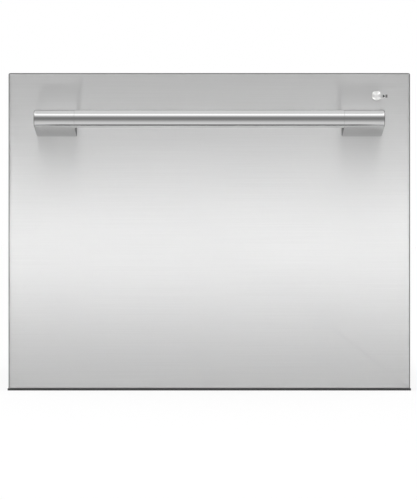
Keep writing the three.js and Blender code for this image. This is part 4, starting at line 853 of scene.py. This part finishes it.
# ---------- Filters ----------
# A dished stainless plate with pressed holes covers the sump. A cup filter with a grip drops
# through it beside the hub and catches what the plate lets by.
etched = metal("etched stainless", "brushed_stainless", 500, (0.56, 0.565, 0.57),
               (0.66, 0.665, 0.67), 0.28, 0.4, 0.06)
cup_y = 19.5
cup_at = (0, cup_y, 0)
shape = bmesh.new()
bmesh.ops.create_grid(shape, x_segments=38, y_segments=38, size=60.8,
                      matrix=Matrix.Translation((0, tub_middle, 89.4)))
keep = {face for face in shape.faces
        if 20 < (face.calc_center_median().xy - Vector((0, tub_middle))).length < 57
        and (face.calc_center_median().xy - Vector((0, cup_y))).length > 17.5}
bmesh.ops.delete(shape, geom=[face for face in shape.faces if face not in keep],
                 context="FACES")
mesh_faces = list(shape.faces)
bmesh.ops.inset_individual(shape, faces=mesh_faces, thickness=0.75, depth=0)
bmesh.ops.delete(shape, geom=mesh_faces, context="FACES")
drawn_out(shape, list(shape.faces), (0, 0, 0.5))
spun(shape, [(16.6, 89.2), (22.5, 89.2), (22.5, 90.2), (16.6, 90.2), (16.6, 89.2)], sump_at,
     steps=48)
spun(shape, [(55.5, 89.2), (60, 89.2), (69, 91.4), (94.3, 92.3), (95, 92.6), (95, 93.3),
             (94.3, 93.8), (68.8, 92.7), (60, 90.3), (55.5, 90.2), (55.5, 89.2)], sump_at,
     steps=96)
spun(shape, [(14.4, 89.2), (18.9, 89.2), (18.9, 90.2), (14.4, 90.2), (14.4, 89.2)], cup_at,
     steps=40)
made("filter_mesh", shape, "drawer", etched, "filter_plate")

shape = bmesh.new()
spun(shape, [(0, 62.3), (12.6, 62.3), (13.2, 63), (14, 90.3), (17, 90.3), (17, 91.3),
             (16.4, 91.8), (12, 91.8), (11, 64.3), (0, 64.3)], cup_at, steps=40)
blocks_round(shape, cup_at, "Z", 2, 4, (0, 0, 92.2), (26, 2.4, 3.4))
box(shape, -13.5, 13.5, cup_y - 1.5, cup_y + 1.5, 91, 99.2, 1.2, 3)
made("filter_cup", shape, "drawer", white_moulding, "drain_filter")

# ---------- Heater ----------
# A sheathed tube element bent round the sump just above the floor, its two ends led in under the
# filter plate's edge.


def bent(points, radius, steps=6):
    """The points of a wire's path, with an arc of the given radius at every bend."""
    points = [Vector(point) for point in points]
    path = [points[0]]
    for before, at, after in zip(points, points[1:], points[2:]):
        inward, outward = (before - at).normalized(), (after - at).normalized()
        angle = inward.angle(outward)
        reach = radius / math.tan(angle / 2)
        centre = at + (inward + outward).normalized() * radius / math.sin(angle / 2)
        start, end = at + inward * reach - centre, at + outward * reach - centre
        path += [centre + start.slerp(end, i / steps) * radius for i in range(steps + 1)]
    return path + [points[-1]]


def wires(name, paths, diameter, body, material, *replaced, closed=()):
    """Round wires through paths in millimetres. An open one has both of its ends rounded off."""
    data = bpy.data.curves.new(name, "CURVE")
    data.dimensions = "3D"
    data.bevel_depth = diameter / 2000
    data.bevel_resolution = 3
    data.use_fill_caps = True
    radius = diameter / 2
    taper = ((0, 0.25), (0.15, 0.62), (0.5, 0.9))
    for path in paths:
        path = [Vector(point) for point in path]
        start = (path[0] - path[1]).normalized() * radius
        end = (path[-1] - path[-2]).normalized() * radius
        points = [(path[0] - start * inset, size) for inset, size in taper]
        points += [(point, 1) for point in [path[0] - start, *path[1:-1], path[-1] - end]]
        points += [(path[-1] - end * inset, size) for inset, size in reversed(taper)]
        spline = data.splines.new("POLY")
        spline.points.add(len(points) - 1)
        for corner, (point, size) in zip(spline.points, points):
            corner.co = (*(point / 1000), 1)
            corner.radius = size
    for path in closed:
        spline = data.splines.new("POLY")
        spline.points.add(len(path) - 1)
        spline.use_cyclic_u = True
        for corner, point in zip(spline.points, path):
            corner.co = (*(point / 1000), 1)
    drawn = bpy.data.objects.new(name, data)
    scene.collection.objects.link(drawn)
    bpy.context.view_layer.update()
    view = bpy.context.evaluated_depsgraph_get()
    mesh = bpy.data.meshes.new_from_object(drawn.evaluated_get(view))
    bpy.data.objects.remove(drawn)
    shape = bmesh.new()
    shape.from_mesh(mesh)
    bmesh.ops.scale(shape, vec=(1000, 1000, 1000), verts=shape.verts)
    return made(name, shape, body, material, *replaced, sharp=60)


sheath = metal("heater sheath", "brushed_stainless", 120, (0.34, 0.33, 0.32), (0.46, 0.45, 0.44),
               0.26, 0.4, 0.05)
heater_z = corners_of("heater")[1].z - 4
ring_radius, lead_radius, lead_drop = 150, 103, 2.4


def by_sump(radius, degrees, height):
    """A point at a radius and an angle about the tub's middle."""
    turn = math.radians(degrees)
    return Vector((radius * math.cos(turn), tub_middle + radius * math.sin(turn), height))


ring = [by_sump(ring_radius, -75 + 330 * i / 60, heater_z) for i in range(61)]
first_lead, last_lead = (by_sump(lead_radius, turn, heater_z - lead_drop) for turn in (-75, 255))
tube_path = (bent([first_lead, ring[0], ring[1]], 6)[:-1] + ring[1:-1]
             + bent([ring[-2], ring[-1], last_lead], 6)[1:])
wires("heater_tube", [tube_path], 8, "drawer", sheath, "heater")
shape = bmesh.new()
for turn in (15, 90, 165):
    spun(shape, [(4.05, -2.5), (5.2, -2.5), (5.6, -2), (5.6, 2), (5.2, 2.5), (4.05, 2.5),
                 (4.05, -2.5)], by_sump(ring_radius, turn, heater_z),
         (-math.sin(math.radians(turn)), math.cos(math.radians(turn)), 0), 24)
made("heater_clips", shape, "drawer", plated)

# ---------- Pumps and controller ----------
# Under the tub: the wash pump's motor on the sump, the drain pump beside it, and the controller in
# a black box on the left, screwed down at its corners.
eased("drain_pump", black_moulding, 0.6)
eased("controller_box", black_moulding, 0.8)
shape = bmesh.new()
spun(shape, [(0, 14), (46, 14), (49, 14.8), (50, 17), (55, 18.4), (55, 30), (53.6, 31),
             (53.6, 33), (55, 34), (55, 46), (53.6, 47), (53.6, 49), (55, 50), (55, 52.7),
             (66, 54.6), (68, 55.2), (68, 58.7), (29.7, 58.7), (29.7, 64), (0, 64)],
     sump_at, steps=72)
blocks_round(shape, (0, tub_middle, 33), "Z", 24, 24, (53.4, 0, 0), (3.0, 1.6, 30))
made("wash_motor", shape, "drawer", black_moulding, "wash_pump")
shape = bmesh.new()
box_low, box_high = corners_of("controller_box")
for x in (box_low.x + 11, box_high.x - 7):
    for y in (box_low.y + 8, box_high.y - 8):
        screw(shape, (x, y, box_high.z), (0, 0, 1), 2.8)
made("controller_screws", shape, "drawer", plated)
shape = bmesh.new()
for y in (-90, -40, 10):
    for step in (-9, -3, 3, 9):
        box(shape, box_low.x - 0.6, box_low.x + 2, y + step - 2, y + step + 2, box_low.z + 11,
            box_low.z + 21, 0.3)
made("controller_sockets", shape, "drawer", white_moulding)

# ---------- Base rack ----------
# Nylon-coated steel wire: hoops welded both ways into a basket, a rim round the top, rows of plate
# tines, four grey feet, and the posts and clips that carry the folding tines and the cup shelves.
coated_wire = moulding("nylon coat", "coated_wire", (0.52, 0.55, 0.57), (0.57, 0.60, 0.62),
                       0.24, 0.34, 0.1)
rack_half, rack_front, rack_rear, rack_floor, rack_rim = 245.0, -250.0, 196.0, 134.0, 232.0
wire = 4.0
crossways = [-222 + 65 * i for i in range(7)]
lengthways = [-215, -107.5, 0, 107.5, 215]
upper_floor = rack_floor + wire * 0.7


def bent_loop(corners, radius):
    """A closed path through corners, each with its arc."""
    return bent(corners + corners[:2], radius)[1:-1]


paths = [bent([(-rack_half, y, rack_rim), (-rack_half + 3, y, rack_floor),
               (rack_half - 3, y, rack_floor), (rack_half, y, rack_rim)], 15)
         for y in crossways]
paths += [bent([(x, rack_front, rack_rim), (x, rack_front + 3, upper_floor),
                (x, rack_rear - 3, upper_floor), (x, rack_rear, rack_rim)], 15)
          for x in lengthways]
rim = bent_loop([(rack_half, rack_front, rack_rim), (rack_half, rack_rear, rack_rim),
                 (-rack_half, rack_rear, rack_rim), (-rack_half, rack_front, rack_rim)], 22)
cup_clips = (-134.0, 10.0)
hinge_x, hinge_z = 243.0, 290.0
for side in (-1, 1):
    post_x = side * rack_half
    for y in cup_clips:
        paths.append([(post_x, y, rack_rim - 1), (post_x, y, hinge_z - 3)])
        paths.append(bent([(post_x, y, hinge_z - 18), (side * 235, y, hinge_z - 9),
                           (side * 223, y, hinge_z - 4.5)], 8))
wires("rack_wires", paths, wire, "drawer", coated_wire, "base_rack", closed=[rim])
fold_tines = [-198 + 30 * i for i in range(7)]
fixed_tines = ([(180 - 30 * i, y) for y in (38, 103) for i in range(5)]
               + [(x, y) for y in (-92, 103) for x in fold_tines])
wires("plate_tines", [[(x, y, rack_floor), (x, y, rack_floor + 40), (x, y, rack_floor + 92)]
                      for x, y in fixed_tines], 3.5, "drawer", coated_wire)
shape = bmesh.new()
for x in (-215, 215):
    for y in (crossways[0], crossways[-1]):
        spun(shape, [(0, 98), (4.2, 98), (5, 98.8), (5, 131), (6.4, 132.6), (6.4, 137),
                     (5.6, 138.4), (0, 138.4)], (x, y, 0), steps=32)
fold_z = upper_floor + wire + 0.5
fold_rows = (-185.0, 5.0)
clips = [(x, y, fold_z) for y in fold_rows for x in (-215, 0)]
clips += [(x, y, hinge_z) for x in (-hinge_x, hinge_x) for y in cup_clips]
for x, y, z in clips:
    box(shape, x - 5.5, x + 5.5, y - 5.5, y + 5.5, z - 5.5, z + 5.5, 1.4, 3)
made("rack_clips_and_feet", shape, "drawer", arm_moulding)

# ---------- Folding tines ----------
# Two rows of plate tines, each welded to a turning rod. The rod snaps into clips on the rack's
# floor, so that the row lies down for pots.
for name, node, y in (("front_tine_row", "front_folding_tines", fold_rows[0]),
                      ("rear_tine_row", "rear_folding_tines", fold_rows[1])):
    rod = [(-223, y, fold_z), (-100, y, fold_z), (8, y, fold_z)]
    tines = [[(x, y, fold_z), (x, y, fold_z + 40), (x, y, fold_z + 84)] for x in fold_tines]
    wires(name, [rod] + tines, 3.6, frame["nodes"][node]["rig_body"], coated_wire, node)

# ---------- Cup shelves ----------
# A shelf of bent wire down each side of the rack. Its outer wire is the hinge: it turns in the
# clips so that the shelf folds up against the tub's wall.
cup_wires = [-206 + 48 * i for i in range(7)]
shelf_front, shelf_rear, shelf_width = -222, 98, 112
for side, name, node in ((1, "right_cup_shelf", "right_cup_rack"),
                         (-1, "left_cup_shelf", "left_cup_rack")):
    hinge, inner = side * hinge_x, side * (hinge_x - shelf_width)
    spine = side * (hinge_x - shelf_width * 0.55)
    edge = bent_loop([(hinge, shelf_front, hinge_z), (hinge, shelf_rear, hinge_z),
                      (inner, shelf_rear, hinge_z), (inner, shelf_front, hinge_z)], 12)
    across = [[(hinge, y, hinge_z), (spine, y, hinge_z), (inner, y, hinge_z)] for y in cup_wires]
    along = [(spine, y, hinge_z + 0.9) for y in (shelf_front, -60, shelf_rear)]
    wires(name, across + [along], 3.6, frame["nodes"][node]["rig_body"], coated_wire, node,
          closed=[edge])

# ---------- Cutlery basket ----------
# A grey polypropylene basket with six cells, latticed so that water runs through it, and a loop in
# the middle to lift it by.
basket_x, basket_y, basket_w, basket_l = 192.0, -118.0, 78.0, 228.0
basket_low, basket_high = 139.1, 251.1
left, right = basket_x - basket_w / 2, basket_x + basket_w / 2
near, far = basket_y - basket_l / 2, basket_y + basket_l / 2
shape = bmesh.new()


def lattice(start, end, low, high, pitch=7.5, half=1.0):
    """Adds a slotted wall from start to end: upright bars with a sill, a band and a top band."""
    start, end = Vector(start), Vector(end)
    count = round((end - start).length / pitch)
    for i in range(count + 1):
        x, y = start.lerp(end, i / count)
        box(shape, x - half, x + half, y - half, y + half, low, high)
    wide, deep = (half, 0) if start.x == end.x else (0, half)
    middle = (low + high) / 2
    for z0, z1 in ((low, low + 9), (middle - 1.5, middle + 1.5), (high - 16, high)):
        box(shape, start.x - wide, end.x + wide, start.y - deep, end.y + deep, z0, z1, 0.35)


for x, lower in ((left, 0), (basket_x, 14), (right, 0)):
    lattice((x, near), (x, far), basket_low, basket_high - lower)
cell_wall = 115 / 3
for y, lower in ((near, 0), (basket_y - cell_wall, 6), (basket_y + cell_wall, 6), (far, 0)):
    lattice((left, y), (right, y), basket_low, basket_high - lower)
for i in range(31):
    y = near + 1 + i * (basket_l - 2) / 30
    box(shape, left, right, y - 1, y + 1, basket_low, basket_low + 2)
for i in range(9):
    x = left + 1 + i * (basket_w - 2) / 8
    box(shape, x - 1, x + 1, near, far, basket_low + 0.2, basket_low + 1.8)
made("basket_lattice", shape, "drawer", arm_moulding, "cutlery_basket")
loop_foot, loop_top = basket_high - 14, basket_high + 19.5
loop_path = [(basket_x, basket_y - 30.5, loop_foot), (basket_x, basket_y - 30.5, loop_top),
             (basket_x, basket_y + 30.5, loop_top), (basket_x, basket_y + 30.5, loop_foot)]
wires("basket_loop", [bent(loop_path, 9)], 4.6, "drawer", arm_moulding)

# ---------- Lid ----------
# A grey moulded tray that stays in the chassis over the drawer, ribbed on top. Two pins on each
# side ride in the guides' slots, and a soft hollow seal runs round under its edge.
lid_edge, seal_line = 6.35, 2.35
lid_low, lid_high = 446.0, 456.0
tray_steps = [(-2, lid_low), (-0.6, lid_low + 0.6), (0, lid_low + 2), (0, lid_high - 0.6),
              (-0.6, lid_high), (-1.9, lid_high), (-2.5, lid_high - 0.6), (-2.5, lid_low + 3)]
shape = bmesh.new()
outline_drawn(shape, [(lid_edge + out, height) for out, height in tray_steps])
for x in (-210, -140, -70, 0, 70, 140, 210):
    box(shape, x - 1, x + 1, -264, 215, lid_low + 2, lid_high - 2, 0.3)
for y in (-184.5, -104.5, -24.5, 55.5, 135.5):
    box(shape, -265, 265, y - 1, y + 1, lid_low + 2, lid_high - 2, 0.3)
for y in (-170, 110):
    for side in (-1, 1):
        spun(shape, [(0, 268), (3, 268), (3, 275.8), (2.5, 276.6), (0, 276.6)],
             (0, y, lid_high - 4), (side, 0, 0), 24)
made("lid_tray", shape, "lid", grey_moulding, "lid")
black_rubber = moulding("black rubber", "seal_rubber", (0.016, 0.016, 0.017),
                        (0.024, 0.024, 0.025), 0.6, 0.75)
seal_low, seal_high = (corner.z for corner in corners_of("lid_seal"))
bulb_steps = [(1.4, seal_low), (2.5, seal_low + 0.7), (3, seal_low + 2), (3, seal_high - 1.2),
              (2.4, seal_high), (-2.4, seal_high), (-3, seal_high - 1.2), (-3, seal_low + 2),
              (-2.5, seal_low + 0.7), (-1.4, seal_low), (1.4, seal_low)]
shape = bmesh.new()
first, last = outline_drawn(shape, [(seal_line + out, height) for out, height in bulb_steps])
bmesh.ops.delete(shape, geom=[first, last], context="FACES_ONLY")
made("lid_seal_bulb", shape, "lid", black_rubber, "lid_seal", sharp=50)
for side in ("left", "right"):
    eased(f"{side}_lid_actuator", white_moulding, 0.5)

# ---------- Chassis ----------
# The cabinet: swaged panels of zinc-coated sheet, screwed together at their flanges, on a dark
# moulded tray that catches leaks and shows as a low lip under the door. A black seal lines its
# mouth, and two tabs fix it to the worktop.
zinc_spangle, taken, fed = effect("zinc spangle")
flakes = added(zinc_spangle, "TexVoronoi", Scale=170.0)
flake_tone = added(zinc_spangle, "SeparateColor")
joined(zinc_spangle,
       (taken["Coordinates"], flakes.inputs["Vector"]),
       (flakes.outputs["Color"], flake_tone.inputs[0]))
toned(zinc_spangle, taken, fed, flake_tone, flake_tone.outputs[1], flake_tone, 0.00005)
zinc_sheet = patterned(*finish("zinc-coated sheet", "sheet_steel", 0.85), zinc_spangle,
                       (1, 1, 1), (0.645, 0.655, 0.665), (0.675, 0.685, 0.695), 0.40, 0.45, 0.02)
for node in ("left_side_panel", "right_side_panel", "top_panel", "rear_panel", "left_mount_tab",
             "right_mount_tab", "left_lid_guide", "right_lid_guide"):
    eased(node, zinc_sheet, 0.5, 14)
tray_moulding = moulding("tray moulding", "dark_moulding", (0.055, 0.055, 0.057),
                         (0.07, 0.07, 0.072), 0.5, 0.65)
eased("base_tray", tray_moulding, 0.2)
shape = bmesh.new()
box(shape, -291, 291, -291, corners_of("base_tray")[0].y + 1, 0.2, 2.5, 0.5)
made("base_lip", shape, "chassis", tray_moulding)
eased("trim_seal", black_rubber, 0.6)
flange_x, rear_face, top_face, tab_face = 290.5, 262, 462, 463.8
shape = bmesh.new()
for x in (-flange_x, flange_x):
    for z in (50, 170, 300, 425):
        screw(shape, (x, rear_face, z), (0, 1, 0))
    for y in (-240, -190, 30, 200, 245):
        screw(shape, (x, y, top_face), (0, 0, 1))
for x in (-220, 220):
    screw(shape, (x, -250, tab_face), (0, 0, 1), 5.0)
for x in (-200, -100, 100, 200):
    screw(shape, (x, 252, top_face), (0, 0, 1))
made("chassis_screws", shape, "chassis", plated)

# ---------- Runners ----------
# Full-extension runners of rolled steel: a fixed channel on a folded bracket, a middle channel, and
# the channel that carries the tub's bracket. Rivets hold the stops.
for side in ("left", "right"):
    for part in ("rail_bracket", "fixed_rail", "middle_rail", "drawer_rail", "tub_bracket"):
        eased(f"{side}_{part}", zinc_sheet, 0.3, 24)

# ---------- Services at the back ----------
# The water inlet valve with its threaded nose and coil, the barbed drain spigot, and the terminal
# box with its three brass blades.
brass = metal("brass", "sheet_steel", 300, (0.60, 0.44, 0.20), (0.76, 0.60, 0.32), 0.24, 0.36, 0.05)
inlet_at, drain_at, back = (215.0, 262.0, 62.0), (-215.0, 262.0, 62.0), (0, 1, 0)
shape = bmesh.new()
nose = [(11, -40), (11, -18), (20, -18), (20, -5), (19, -4), (16, -4), (16, -2), (12, -2), (12, 0)]
for i in range(6):
    nose += [(13.1, 0.8 + i * 2), (13.1, 1.3 + i * 2), (12.1, 2.0 + i * 2)]
spun(shape, [(0, -40)] + nose + [(11.6, 13), (8.6, 13), (8, 12.4), (8, -6), (0, -6)],
     inlet_at, back, 56)
x, y, z = inlet_at
box(shape, x - 14, x + 14, y - 46, y - 20, z + 6, z + 40, 2.5, 3)
box(shape, x - 22, x + 22, y - 4.6, y - 2.6, z - 24, z + 22, 0.8)
for dx, dz in ((-17, 17), (17, 17), (-17, -19), (17, -19)):
    spun(shape, [(0, -2), (3, -2), (3, -5.6), (0, -5.6)], (x + dx, y, z + dz), back, 20)
made("inlet_valve_body", shape, "chassis", white_moulding, "inlet_valve")
shape = bmesh.new()
for dx in (-6, 6):
    box(shape, x + dx - 0.4, x + dx + 0.4, y - 36, y - 29, z + 39, z + 47.5, 0.2)
made("coil_blades", shape, "chassis", brass)
shape = bmesh.new()
barbs = [(10, -1.5), (10, 0), (8.6, 0.4), (9.9, 4.2), (8.6, 4.6), (9.9, 8.6), (8.6, 9.0),
         (9.4, 12.4), (8.8, 13)]
spun(shape, [(0, -30), (8, -30), (10, -28), (10, -4), (22, -4), (22, -2.2), (21.3, -1.5)] + barbs
     + [(7, 13), (7, -26), (0, -26)], drain_at, back, 56)
made("drain_nose", shape, "chassis", grey_moulding, "drain_spigot")
eased("terminal_box", black_moulding, 0.4)
shape = bmesh.new()
for x in (-227, -215, -203):
    box(shape, x - 0.4, x + 0.4, 241, 252, 146, 154, 0.2)
made("terminal_blades", shape, "chassis", brass)

# ---------- Button guide and switch board ----------
# Behind the panel: the white guide that the start button slides in, and the small switch board
# that it presses.
eased("button_guide", white_moulding, 0.3)
eased("switch_board", solder_mask, 0.15)
